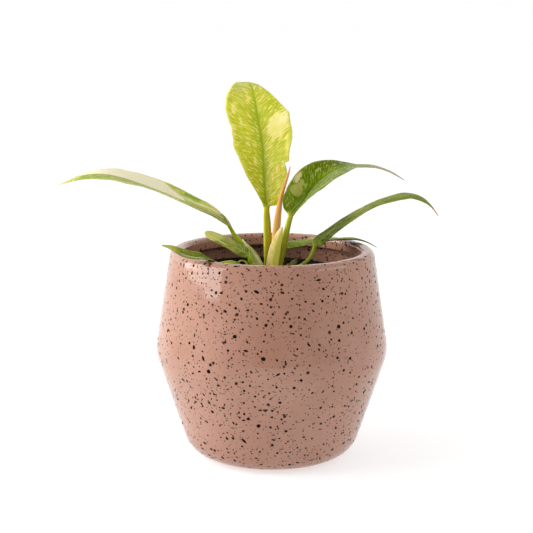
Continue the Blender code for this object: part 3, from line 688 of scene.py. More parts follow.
# The most prominent specks: angle round the pot (0 at the right, -90 at the front), height, length,
# breadth and lean of the longer way, in degrees and mm.
SPECKS = [
    (-137.4, 139.6, 1.6, 1.6, 0), (-118.9, 137.4, 1.6, 1.6, 0), (-88.3, 138.8, 1.1, 1.1, 0), (-76.6, 137.6, 1.4, 1.4, 0),
    (-44.8, 131.5, 1.2, 1.2, 0), (-97.9, 127.2, 3.3, 1.6, 25), (-62.7, 127.9, 1.5, 1.5, 0), (-79.8, 122.9, 1.4, 1.4, 0),
    (-63.6, 120.2, 1.6, 1.6, 0), (-102, 115.4, 1.4, 1.4, 0), (-97.3, 110.3, 1.4, 1.4, 0), (-80.7, 105.4, 1.9, 1.9, 0),
    (-76.5, 110.9, 1.4, 1.4, 0), (-73.6, 109.8, 1.4, 1.4, 0), (-55.1, 102.8, 2.5, 2.2, 0), (-51.9, 104.7, 1.5, 1.4, 0),
    (-108.1, 98.2, 2.3, 2.1, 0), (-104.3, 103.2, 1.2, 1.2, 0), (-130.6, 87.7, 2.7, 1.9, 80), (-133.9, 89.8, 1.8, 1.6, 0),
    (-140.2, 88, 1.4, 1.4, 0), (-148.3, 86.1, 1.6, 1.6, 0), (-140, 93.5, 1.1, 1.1, 0), (-147.6, 103, 1.5, 0.8, -40),
    (-93.9, 85, 2.7, 2.3, 10), (-94.9, 89.6, 1.2, 1.2, 0), (-96.7, 88.1, 1.2, 1.2, 0), (-124.3, 81.9, 2.9, 1.6, 60),
    (-120.9, 73.9, 2.5, 2.3, 0), (-111.2, 89, 1.6, 1.5, 0), (-72, 93.2, 2.7, 1.1, 45), (-55.4, 93.9, 1.9, 1.6, 0),
    (-57.2, 83, 1.8, 1.5, 0), (-49.6, 81.2, 1.9, 1.6, 0), (-71.9, 80.1, 1.2, 1.2, 0), (-53.8, 74.2, 1.8, 1.5, 0),
    (-49.6, 71.6, 1.4, 1.4, 0), (-42.6, 66.8, 1.8, 1.5, 0), (-36.9, 65.6, 1.4, 1.4, 0), (-87.1, 75, 2.7, 1.1, -30),
    (-84.1, 75.7, 1.2, 1.2, 0), (-116.6, 64.9, 1.5, 1.5, 0), (-103.2, 63.1, 1.5, 1.5, 0), (-126.6, 56.2, 2.2, 1.1, 45),
    (-85.8, 55, 1.9, 1.6, 0), (-104.1, 54, 1.4, 1.4, 0), (-123.2, 44.3, 1.9, 1.8, 0), (-97, 37.5, 2.7, 2.1, -70),
    (-111.2, 38.3, 1.8, 1.2, 60), (-109.4, 37.6, 1.2, 1.2, 0), (-106.2, 25.4, 3.8, 1.6, 50), (-114.7, 8.9, 2.3, 1.4, 80),
    (-63.6, 49, 1.5, 1.5, 0), (-63.7, 42, 1.2, 1.2, 0), (-89.7, 44.2, 1.4, 1.4, 0), (-88.8, 27.3, 2.1, 1, 15),
    (-85.2, 28.2, 1.1, 1.1, 0), (-86.2, 17.2, 1.4, 1.4, 0), (-72.3, 8.6, 2.3, 1.2, 20), (-59.7, 13.7, 1.6, 1.1, 80),
    (-47.9, 20.3, 1.2, 1.2, 0), (-152, 72.9, 3, 1, 70), (-134.4, 59.7, 3.7, 0.5, 50), (-138.4, 29.2, 4, 0.5, 50),
    (-147.6, 32.1, 2.7, 0.8, 40), (-147.1, 30.3, 2.5, 0.7, -60), (-148.2, 32.8, 1.8, 0.7, 70), (-101.9, 95.4, 1.5, 1, 20),
    (-76.1, 70.7, 1.9, 1.6, 20), (-91.6, 71.9, 1.1, 1.1, 0), (-59.2, 64.2, 1.4, 1.4, 0), (-56.9, 133.8, 1.1, 1.1, 0),
    (-25.1, 118.2, 1.2, 1.2, 0), (-59.9, 122.7, 1.1, 1.1, 0), (-76, 118.8, 1.1, 1.1, 0), (-72.8, 120.7, 1.4, 1.2, 0),
    (-68.4, 118.9, 1.1, 1.1, 0), (-132, 115.8, 1.1, 1.1, 0), (-105.7, 122.4, 1.4, 1.4, 0), (-95.4, 119.7, 1.9, 1.1, 10),
    (-41.8, 56.1, 1.2, 1.2, 0),
]


def glaze_specks(arc, radius_at, height_at, rows, turns):
    """Which specks each face of the pot carries: up to three, each as a place and two directions."""
    rnd = random.Random(71)
    total = arc[-1]
    specks = []
    outer = [i for i in range(len(arc)) if height_at[i] < POT_H and radius_at[i] > POT_FOOT_R - 20][: len(arc)]
    peak = int(np.argmax(height_at))
    foot = next(i for i in range(len(arc)) if radius_at[i] > POT_FOOT_R - 12)

    def at_height(z):
        return float(np.interp(z, height_at[foot:peak], arc[foot:peak]))

    for angle, z, size_a, size_b, lean in SPECKS:
        specks.append(((90 - angle) / 360 % 1.0, at_height(z), size_a * 0.58, size_b * 0.58, math.radians(lean), 1.0))
    shown = [(p[0], p[1]) for p in specks]
    bursts = [(rnd.random(), arc[foot] + (total - arc[foot] - 60) * rnd.random(), rnd.uniform(4, 15)) for _ in range(300)]
    for _ in range(11500):
        if rnd.random() < 0.62:
            cu, cv, wide = rnd.choice(bursts)
            u = cu + rnd.gauss(0, wide) / 450
            v = cv + rnd.gauss(0, wide)
        else:
            u, v = rnd.random(), arc[foot] + (total - arc[foot] - 50) * rnd.random()
        if not arc[foot] - 8 < v < total - 50:
            continue
        size = min(0.245 + 0.225 * rnd.expovariate(1.0), 1.1)
        u %= 1.0
        if size > 0.55 and any(abs(u - su) < 0.012 and abs(v - sv) < 4 for su, sv in shown):
            size = 0.36
        long = 1.0 if rnd.random() < 0.55 else rnd.uniform(1.1, 2.3)
        specks.append((u, v, size * long**0.6, size / long**0.5, rnd.gauss(0.5, 0.9), rnd.uniform(0.88, 1.0) * (0.9 if size < 0.3 else 1.0)))
    # a few drawn-out flecks
    for _ in range(46):
        u, v = rnd.random(), arc[foot] + (total - arc[foot] - 70) * rnd.random()
        specks.append((u, v, rnd.uniform(0.9, 1.7), rnd.uniform(0.17, 0.3), rnd.gauss(0.9, 0.35), rnd.uniform(0.6, 0.9)))
    layers = np.zeros((3, 3, (rows - 1) * turns, 3), np.float32)
    layers[:, 0, :, :] = (9.0, 9.0, 0.0)
    used = np.zeros((rows - 1) * turns, int)
    specks.sort(key=lambda p: -p[2])
    for u, v, a, b, lean, tone in specks:
        r = float(np.interp(v, arc, radius_at))
        around = 2 * math.pi * r
        reach = a * 1.5
        j0, j1 = np.searchsorted(arc, v - reach) - 1, np.searchsorted(arc, v + reach)
        span = reach / around + 0.5 / turns
        k0, k1 = math.floor((u - span) * turns), math.ceil((u + span) * turns)
        ca, sa = math.cos(lean), math.sin(lean)
        first = (around * ca / a, 1000 * sa / a, 0.0)
        second = (-around * sa / b, 1000 * ca / b, 0.0)
        for j in range(max(0, j0), min(rows - 1, j1)):
            for k in range(k0, k1 + 1):
                face = j * turns + k % turns
                if used[face] < 3:
                    shift = -1.0 if k >= turns else (1.0 if k < 0 else 0.0)
                    layers[used[face], 0, face] = (u + shift, v / 1000, tone)
                    layers[used[face], 1, face] = first
                    layers[used[face], 2, face] = second
                    used[face] += 1
    return layers


def turned(name, profile, turns, centre=(0.0, 0.0), wobble=0.0, **more):
    """A closed turned solid from its profile, given up the outside and down the inside."""
    profile = np.array(profile, float)
    rows = len(profile)
    arc = np.concatenate([[0.0], np.cumsum(np.linalg.norm(np.diff(profile, axis=0), axis=1))])
    a = math.pi / 2 - 2 * math.pi * np.arange(turns) / turns
    x = centre[0] + profile[:, :1] * np.cos(a)[None, :]
    y = centre[1] + profile[:, :1] * np.sin(a)[None, :]
    z = np.repeat(profile[:, 1:], turns, axis=1)
    if wobble:
        push = wobble * grain(x / 34, y / 34, z / 34, 5) * step(2, 30, z) * step(10, 60, profile[:, :1])
        x, y = x * (1 + push / 80), y * (1 + push / 80)
    verts = np.stack([x, y, z], axis=2).reshape(-1, 3)
    faces, uv = [], []
    for i in range(rows - 1):
        v0, v1 = arc[i] / 1000, arc[i + 1] / 1000
        for k in range(turns):
            m = (k + 1) % turns
            faces.append((i * turns + k, i * turns + m, (i + 1) * turns + m, (i + 1) * turns + k))
            u0, u1 = k / turns, (k + 1) / turns
            uv.append([(u0, v0), (u1, v0), (u1, v1), (u0, v1)])
    low = tuple(range(turns - 1, -1, -1))
    high = tuple((rows - 1) * turns + k for k in range(turns))
    faces += [low, high]
    uv += [[(0.5, 0.0)] * turns, [(0.5, arc[-1] / 1000)] * turns]
    per_face = None
    if more.pop("specks", False):
        layers = glaze_specks(arc, profile[:, 0], profile[:, 1], rows, turns)
        per_face = {}
        for n in range(3):
            for m, key in enumerate(("at", "p", "q")):
                values = np.vstack([layers[n, m], np.full((2, 3), 9.0 if m == 0 else 0.0)])
                per_face[f"speck{n}_{key}"] = values
    return solid(name, verts, faces, uv=uv, per_face=per_face, **more)


def glaze():
    s = Shader("speckled_glaze")
    here = s.here()
    uvn = s.tree.nodes.new("ShaderNodeUVMap")
    uvn.uv_map = "UVMap"
    uv = uvn.outputs[0]
    u, v, _ = s.split(uv)
    # the body colour, with soft clouds and a fine tooth
    cloud = s.noise(here, 26, 3, 0.55)
    fine = s.noise(here, 420, 3, 0.6)
    colour = s.mix(s.ramp(cloud, 0.35, 0.68), srgb(162, 118, 99), srgb(170, 127, 108))
    colour = s.mix(s.math("MULTIPLY", s.ramp(fine, 0.42, 0.72), 0.25), colour, srgb(150, 107, 89))
    # thousands of tiny specks
    warp = s.vec("SCALE", s.noise(here, 900, 1, 0.5, out=1), 0.0006)
    placed = s.vec("ADD", here, warp)
    crowd = s.noise(here, 52, 2, 0.5)
    for scale, widest, few in ((400, 0.25, 0.22), (620, 0.28, 0.3)):
        thin, thin_colour = s.voronoi(placed, scale)
        r1, r2, _ = s.split(thin_colour)
        size = s.math("MULTIPLY", s.math("POWER", r1, 2.2), widest)
        size = s.math("MULTIPLY", size, s.ramp(crowd, 0.34, 0.6, 0.55, 1.2))
        tiny = s.ramp(s.math("SUBTRACT", thin, size), -0.03, 0.05, 1.0, 0.0)
        tiny = s.math("MULTIPLY", tiny, s.ramp(r1, few, few + 0.15))
        colour = s.mix(s.math("MULTIPLY", tiny, s.ramp(r2, 0.0, 1.0, 0.6, 1.0)), colour, srgb(44, 22, 18))
    # the specks placed one by one
    ragged = s.vec("SUBTRACT", s.noise(here, 1500, 2, 0.5, out=1), (0.5, 0.5, 0.5))
    rag = s.math("MULTIPLY", s.split(ragged)[0], 0.75)
    dark = None
    for n in range(3):
        at = s.attribute(f"speck{n}_at")
        p, q = s.attribute(f"speck{n}_p"), s.attribute(f"speck{n}_q")
        du = s.vec("SUBTRACT", uv, at)
        e = s.join(s.vec("DOT_PRODUCT", du, p, out=1), s.vec("DOT_PRODUCT", du, q, out=1), 0.0)
        d = s.math("ADD", s.vec("LENGTH", e, out=1), rag)
        tone = s.split(at)[2]
        hit = s.math("MULTIPLY", s.ramp(d, 0.88, 1.14, 1.0, 0.0), tone)
        dark = hit if dark is None else s.math("MAXIMUM", dark, hit)
    colour = s.mix(dark, colour, srgb(24, 5, 4))
    # the bare clay line round the foot
    z = s.split(here)[2]
    bare = s.ramp(s.math("ADD", z, s.math("MULTIPLY", s.noise(here, 90, 2), 0.0007)), 0.0011, 0.0019, 1.0, 0.0)
    colour = s.mix(bare, colour, srgb(186, 112, 62))
    rough = s.ramp(bare, 0.0, 1.0, 0.085, 0.62)
    rough = s.math("ADD", rough, s.math("MULTIPLY", dark, 0.4))
    wave = s.noise(here, 62, 2, 0.4)
    orange = s.noise(here, 520, 1, 0.5)
    height = s.math("ADD", s.math("MULTIPLY", wave, 1.0), s.math("MULTIPLY", orange, 0.06))
    height = s.math("ADD", height, s.math("MULTIPLY", dark, 0.05))
    normal = s.bump(height, 0.0006, 0.5)
    return s.surface(colour, rough, normal, IOR=1.45, Specular_IOR_Level=s.ramp(dark, 0.0, 1.0, 0.5, 0.05))


# ---- the grow pot -----------------------------------------------------------------------------------
taper = (NURSERY_RIM_R - 3.2 - NURSERY_BASE_R) / (NURSERY_RIM_Z - NURSERY_BASE_Z)


def nursery_r(z):
    return NURSERY_BASE_R + taper * (z - NURSERY_BASE_Z)


def black_plastic():
    s = Shader("grow_pot_plastic")
    here = s.here()
    scuff = s.noise(here, 210, 4, 0.6)
    z = s.split(here)[2]
    dust = s.math("MULTIPLY", s.ramp(s.noise(here, 60, 3, 0.6), 0.45, 0.75), s.ramp(z, 0.118, 0.127, 0.0, 0.55))
    colour = s.mix(s.ramp(scuff, 0.4, 0.75), srgb(6, 6, 6), srgb(13, 12, 12))
    colour = s.mix(s.math("MULTIPLY", dust, 0.3), colour, srgb(80, 66, 52))
    rough = s.ramp(scuff, 0.3, 0.8, 0.26, 0.42)
    normal = s.bump(s.noise(here, 1500, 2, 0.5), 0.0002, 0.25)
    return s.surface(colour, rough, normal, IOR=1.49, Specular_IOR_Level=0.02)


# ---- the soil ---------------------------------------------------------------------------------------
SOIL_Z = 123.6


def soil_height(x, y):
    """Height of the soil's surface at a place, in mm."""
    rx, ry = x - NURSERY_X, y - NURSERY_Y
    r = np.hypot(rx, ry)
    mound = 2.0 * np.exp(-(np.hypot(x + 1, y + 1) / 15.0) ** 2)
    lumps = 1.25 * grain(x / 9.0, y / 9.0, 0, 11) + 0.8 * grain(x / 3.7, y / 3.7, 0, 12) + 0.5 * grain(x / 1.6, y / 1.6, 0, 13)
    rise = 1.6 * np.exp(-((x - 16) / 20.0) ** 2) * step(26, 44, y)
    return SOIL_Z + 0.2 + mound + rise + lumps * (1 - 0.45 * step(44, 48.8, r))


def soil_piece(material):
    turns, rings = 150, 56
    top_r = nursery_r(SOIL_Z) - NURSERY_WALL - 0.35
    a = 2 * math.pi * np.arange(turns) / turns
    rows = []
    for r, z in ((3.0, NURSERY_BASE_Z + NURSERY_WALL + 0.4), (nursery_r(10) - 1.9, NURSERY_BASE_Z + NURSERY_WALL + 0.4)):
        rows.append(np.stack([NURSERY_X + r * np.cos(a), NURSERY_Y + r * np.sin(a), np.full(turns, z)], axis=1))
    for z in np.linspace(16, SOIL_Z - 3.5, 16):
        r = nursery_r(z) - NURSERY_WALL - 0.35 - 0.25 * (1 + grain(a * 9, z / 4, 0, 21))
        rows.append(np.stack([NURSERY_X + r * np.cos(a), NURSERY_Y + r * np.sin(a), np.full(turns, z)], axis=1))
    for r in np.linspace(top_r, 0.8, rings):
        x, y = NURSERY_X + r * np.cos(a), NURSERY_Y + r * np.sin(a)
        rows.append(np.stack([x, y, soil_height(x, y)], axis=1))
    verts = np.vstack(rows)
    return solid("soil_fine", verts, ring_faces(len(rows), turns), node="soil", slot="soil", mats=[material])


def peat():
    s = Shader("peat")
    here = s.here()
    clods = s.noise(here, 330, 5, 0.65)
    grit, grit_colour = s.voronoi(here, 760)
    pick = s.split(grit_colour)[0]
    colour = s.mix(s.ramp(clods, 0.36, 0.7), srgb(10, 6, 4), srgb(36, 24, 14))
    fibre = s.noise(s.vec("MULTIPLY", here, (420, 1900, 900)), 1.0, 3, 0.6)
    colour = s.mix(s.math("MULTIPLY", s.ramp(fibre, 0.60, 0.72), 0.7), colour, srgb(104, 66, 30))
    colour = s.mix(s.math("MULTIPLY", s.ramp(pick, 0.86, 0.9), s.ramp(grit, 0.1, 0.4, 1.0, 0.0)), colour, srgb(158, 116, 66))
    rough = s.ramp(clods, 0.3, 0.8, 0.72, 0.95)
    height = s.math("ADD", s.math("MULTIPLY", clods, 1.0), s.math("MULTIPLY", grit, 0.5))
    return s.surface(colour, rough, s.bump(height, 0.0012, 0.9), Specular_IOR_Level=0.0)


def bark():
    s = Shader("bark_chips")
    here = s.here()
    tone = s.attribute("tone")
    t = s.split(tone)
    strip = s.noise(s.vec("MULTIPLY", here, (900, 2600, 1400)), 1.0, 3, 0.6)
    colour = s.mix(t[0], srgb(44, 27, 14), srgb(176, 122, 52))
    colour = s.mix(s.math("MULTIPLY", s.ramp(strip, 0.4, 0.7), 0.55), colour, srgb(52, 34, 22))
    colour = s.mix(t[1], colour, srgb(206, 190, 160))
    return s.surface(colour, 0.8, s.bump(strip, 0.0005, 0.8), Specular_IOR_Level=0.08)


def chips(material, keep_off):
    """Bark, coir and grit lying half sunk in the soil: one piece, many small closed lumps."""
    rnd = random.Random(19)
    verts, faces, tones = [], [], []
    limit = nursery_r(SOIL_Z) - NURSERY_WALL - 2.2
    made = 0
    while made < 430:
        r, a = limit * math.sqrt(rnd.random()), rnd.uniform(0, 2 * math.pi)
        x, y = NURSERY_X + r * math.cos(a), NURSERY_Y + r * math.sin(a)
        if any(math.hypot(x - kx, y - ky) < kr for kx, ky, kr in keep_off):
            continue
        kind = rnd.random()
        if kind < 0.5:        # fibres and splinters
            size = (rnd.uniform(1.6, 4.2), rnd.uniform(0.25, 0.55), rnd.uniform(0.2, 0.45))
        elif kind < 0.85:     # bark
            size = (rnd.uniform(0.9, 2.6), rnd.uniform(0.6, 1.5), rnd.uniform(0.3, 0.8))
        else:                 # grit
            size = (rnd.uniform(0.4, 0.9),) * 3
        size = tuple(v * rnd.uniform(0.85, 1.15) for v in size)
        if y > 36 and -4 < x < 34 and kind > 0.4:
            size = tuple(v * 1.25 for v in size)
        turn = Matrix.Rotation(rnd.uniform(0, math.pi), 3, "Z") @ Matrix.Rotation(rnd.gauss(0, 0.28), 3, "X") @ Matrix.Rotation(rnd.gauss(0, 0.28), 3, "Y")
        h = float(soil_height(np.array(x), np.array(y))) + size[2] * rnd.uniform(-0.1, 0.55)
        base = len(verts)
        rows, around = 5, 8
        seed = rnd.randrange(1000)
        for i in range(rows):
            lat = math.pi * (i + 0.5) / rows - math.pi / 2
            for k in range(around):
                lon = 2 * math.pi * (k + 0.5 * (i % 2)) / around
                d = Vector((math.cos(lat) * math.cos(lon), math.cos(lat) * math.sin(lon), math.sin(lat)))
                bulge = 1 + 0.28 * (rnd.random() - 0.5) * 2
                p = Vector((d.x * size[0], d.y * size[1], d.z * size[2])) * bulge
                p = turn @ p
                q = Vector((x, y, h)) + p
                reach = math.hypot(q.x - NURSERY_X, q.y - NURSERY_Y)
                if reach > limit + 1.7:
                    q.x = NURSERY_X + (q.x - NURSERY_X) * (limit + 1.7) / reach
                    q.y = NURSERY_Y + (q.y - NURSERY_Y) * (limit + 1.7) / reach
                verts.append(tuple(q))
        for f in ring_faces(rows, around):
            faces.append(tuple(base + i for i in f))
        tone = rnd.random() ** 1.6
        pale = 1.0 if kind > 0.93 else 0.0
        tones += [(tone, pale, 0.0)] * (rows * around)
        made += 1
    return solid("soil_chips", verts, faces, points={"tone": np.array(tones)}, slot="soil", mats=[material])


# ---- the crown --------------------------------------------------------------------------------------
def crown_piece(material):
    """The short stem the leaves stand on, with the rough edges of old sheaths round it."""
    turns, rows = 72, []
    a = 2 * math.pi * np.arange(turns) / turns
    for z, r in ((112.4, 6.0), (114.0, 8.6), (117.0, 10.0), (121.0, 10.3), (123.4, 10.2), (124.6, 9.9),
                 (125.6, 9.3), (126.3, 8.3), (126.8, 6.9), (127.1, 5.2), (127.2, 3.4), (127.2, 1.0)):
        live = step(119, 124, np.full(turns, z))
        rr = r * (1 + 0.05 * live * np.sin(5 * a + 0.7) + 0.05 * live * grain(a * 4, z / 2.0, 0, 31))
        zz = z + live * (0.35 * grain(a * 3, r / 2.0, 1, 33) + 0.25 * grain(a * 9, r, 1, 34))
        rows.append(np.stack([-1 + rr * np.cos(a), -1 + rr * np.sin(a), zz], axis=1))
    verts = np.vstack(rows)
    return solid("crown_fine", verts, ring_faces(len(rows), turns), node="crown", slot="crown", mats=[material])


def old_stem():
    s = Shader("old_stem")
    here = s.here()
    n = s.noise(s.vec("MULTIPLY", here, (500, 500, 1600)), 1.0, 4, 0.6)
    colour = s.mix(s.ramp(n, 0.35, 0.65), srgb(88, 84, 46), srgb(122, 116, 66))
    colour = s.mix(s.ramp(s.noise(here, 240, 3, 0.6), 0.52, 0.68), colour, srgb(84, 58, 36))
    return s.surface(colour, 0.62, s.bump(n, 0.0006, 0.7))


# ---- the leaves' surfaces ---------------------------------------------------------------------------
def lit(colour, gain):
    """A colour scaled by gain, kept a little under white."""
    return tuple(min(0.96, c * gain) for c in colour[:3]) + (1.0,)


def leaf_skin(name, a, stalk, rib, back, b=None, gain=1.0, stalk_painted_light_gain=None, streak=0.5, width=0.2, fleck=None, flecks=0.0,
              rough=(0.40, 0.52), coat=0.0, rim=None, rim_b=None, glow=0.08, vein_dark=0.2, lines_on=0.0, lines_b=None,
              feather=0.5, tooth=0.35, tip=None, shine=0.1, rib_on=0.85, rib_fade=None):
    """A variegated leaf: a green field, different on its two halves where b is given, streaks that run along
    the side veins, soft washes and feathered patches laid one by one, flecks, midrib, stalk and a duller
    underside. Colours are (deep, middle, pale); coordinates are the leaf's own, in mm.
    """
    s = Shader(name)
    # The stalk's gain brightens its colours to make up for the shade it stands in near the pot: painted light.
    stalk_painted_light_gain = gain if stalk_painted_light_gain is None else stalk_painted_light_gain
    lf, vein, kind, cover = (s.attribute(k) for k in ("lf", "vein", "kind", "cover"))
    along, out, part = s.split(lf)
    q, reach, side = s.split(vein)
    upper, midrib, blade = s.split(kind)
    wash_on, tone_on, _ = s.split(cover)
    at = s.join(q, s.math("MULTIPLY", reach, 0.14), side)
    close = s.join(s.math("MULTIPLY", q, 1.7), s.math("MULTIPLY", reach, 0.26), side)
    broad = s.noise(at, 0.42, 3, 0.55)
    thin = s.ramp(s.noise(at, 1.0, 3, 0.6), 0.30, 0.70, kind="LINEAR")
    hair = s.ramp(s.noise(close, 1.0, 3, 0.6), 0.30, 0.70, kind="LINEAR")
    cloud = s.noise(lf, 0.16, 3, 0.55)
    lines = s.noise(s.join(s.math("MULTIPLY", along, 0.05), s.math("MULTIPLY", out, 1.1), side), 1.0, 4, 0.65)
    on_b = s.ramp(side, -1.0, 1.0, 1.0, 0.0, kind="LINEAR")

    def both(n):
        return lit(a[n], gain) if b is None else s.mix(on_b, lit(a[n], gain), lit(b[n], gain))

    deep, middle, pale = both(0), both(1), both(2)
    field = s.ramp(s.math("ADD", s.math("MULTIPLY", cloud, 0.5), s.math("MULTIPLY", broad, 0.5)), 0.38, 0.62)
    colour = s.mix(field, deep, middle)
    colour = s.mix(s.math("MULTIPLY", wash_on, 0.92), colour, s.attribute("wash"))
    level = s.math("ADD", s.math("MULTIPLY", thin, 0.62), s.math("MULTIPLY", broad, 0.38))
    start = 0.70 - 0.24 * streak
    colour = s.mix(s.math("MULTIPLY", s.ramp(level, start, start + width), 0.85), colour, pale)
    if lines_on:
        where = lines_on if lines_b is None else s.math("ADD", s.math("MULTIPLY", on_b, lines_b - lines_on), lines_on)
        colour = s.mix(s.math("MULTIPLY", s.ramp(lines, 0.46, 0.64), where), colour, pale)
        colour = s.mix(s.math("MULTIPLY", s.ramp(lines, 0.46, 0.34), where), colour, deep)
    # fine tooth along the side veins: a little darker, a little lighter
    colour = s.mix(s.math("MULTIPLY", s.ramp(hair, 0.50, 0.34), tooth), colour, (0.62, 0.66, 0.45, 1), blend="MULTIPLY")
    colour = s.mix(s.math("MULTIPLY", s.ramp(hair, 0.54, 0.72), tooth), colour, pale)
    # patches with feathered edges
    wander = s.math("ADD", s.math("MULTIPLY", s.math("SUBTRACT", thin, 0.5), 0.9), s.math("MULTIPLY", s.math("SUBTRACT", hair, 0.5), 0.5))
    patch = s.ramp(s.math("ADD", tone_on, s.math("MULTIPLY", wander, feather)), 0.40, 0.60)
    toned = s.mix(s.math("MULTIPLY", s.ramp(hair, 0.46, 0.34), 0.3), s.attribute("tone"), (0.82, 0.84, 0.7, 1), blend="MULTIPLY")
    colour = s.mix(s.math("MULTIPLY", patch, 0.94), colour, toned)
    if flecks:
        dots = s.ramp(s.math("ADD", hair, s.math("MULTIPLY", broad, 0.3)), 0.86 - 0.12 * flecks, 0.95 - 0.12 * flecks)
        colour = s.mix(s.math("MULTIPLY", dots, min(1.0, 0.5 + flecks)), colour, lit(fleck, gain))
    wave = s.math("SINE", s.math("MULTIPLY", q, 2 * math.pi / 1.55))
    veins = s.math("MULTIPLY", s.ramp(wave, 0.35, 1.0), s.ramp(reach, 0.6, 2.4))
    if vein_dark:
        colour = s.mix(s.math("MULTIPLY", veins, vein_dark), colour, s.mix(0.5, colour, deep))
    # midrib and rims
    on_rib = s.math("MULTIPLY", midrib, rib_on)
    if rib_fade:
        on_rib = s.math("MULTIPLY", on_rib, s.ramp(along, rib_fade[0], rib_fade[1], 1.0, rib_fade[2]))
    colour = s.mix(on_rib, colour, lit(rib, gain))
    if rim is not None:
        colour = s.mix(s.math("MULTIPLY", s.ramp(part, 0.90, 0.98), 0.8), colour, lit(rim, gain))
    if rim_b is not None:
        colour = s.mix(s.math("MULTIPLY", s.ramp(part, -0.90, -0.98), 0.8), colour, lit(rim_b, gain))
    # the underside is duller
    colour = s.mix(s.ramp(upper, 0.4, 0.6, 0.5, 0.0), colour, lit(back, gain))
    # stalk, painted lighter on the side the light falls on and darker on the side away from it (painted light and
    # shade), with faint lengthwise lines
    grooves = s.noise(s.join(s.math("MULTIPLY", along, 0.05), s.math("MULTIPLY", out, 2.2), side), 1.0, 3, 0.6)
    stem = s.mix(s.ramp(part, -0.8, 0.8), lit(stalk[0], stalk_painted_light_gain), lit(stalk[1], stalk_painted_light_gain))
    stem = s.mix(s.math("MULTIPLY", s.ramp(grooves, 0.4, 0.66), 0.35), stem, (0.7, 0.74, 0.5, 1), blend="MULTIPLY")
    colour = s.mix(s.ramp(along, -1.2, 2.4, 1.0, 0.0), colour, stem)
    if tip is not None:   # the last of the tip dries
        colour = s.mix(s.ramp(along, tip[0], tip[1]), colour, lit(tip[2], gain))
    skin = s.noise(lf, 2.2, 2, 0.5)
    r = s.ramp(skin, 0.3, 0.7, rough[0], rough[1])
    cells = s.noise(lf, 5.5, 2, 0.5)
    relief = s.math("ADD", s.math("MULTIPLY", veins, -0.55), s.math("MULTIPLY", hair, 0.5))
    relief = s.math("ADD", relief, s.math("MULTIPLY", cells, 0.22))
    relief = s.math("ADD", relief, s.math("MULTIPLY", grooves, 0.25))
    normal = s.bump(relief, 0.00022, 0.75)
    fixed = dict(IOR=1.45, Specular_IOR_Level=shine, Subsurface_Weight=glow, Subsurface_Radius=(0.0018, 0.0022, 0.0006),
                 Subsurface_Scale=1.0)
    if coat:
        fixed.update(Coat_Weight=coat, Coat_Roughness=0.2)
    return s.surface(colour, r, normal, **fixed)
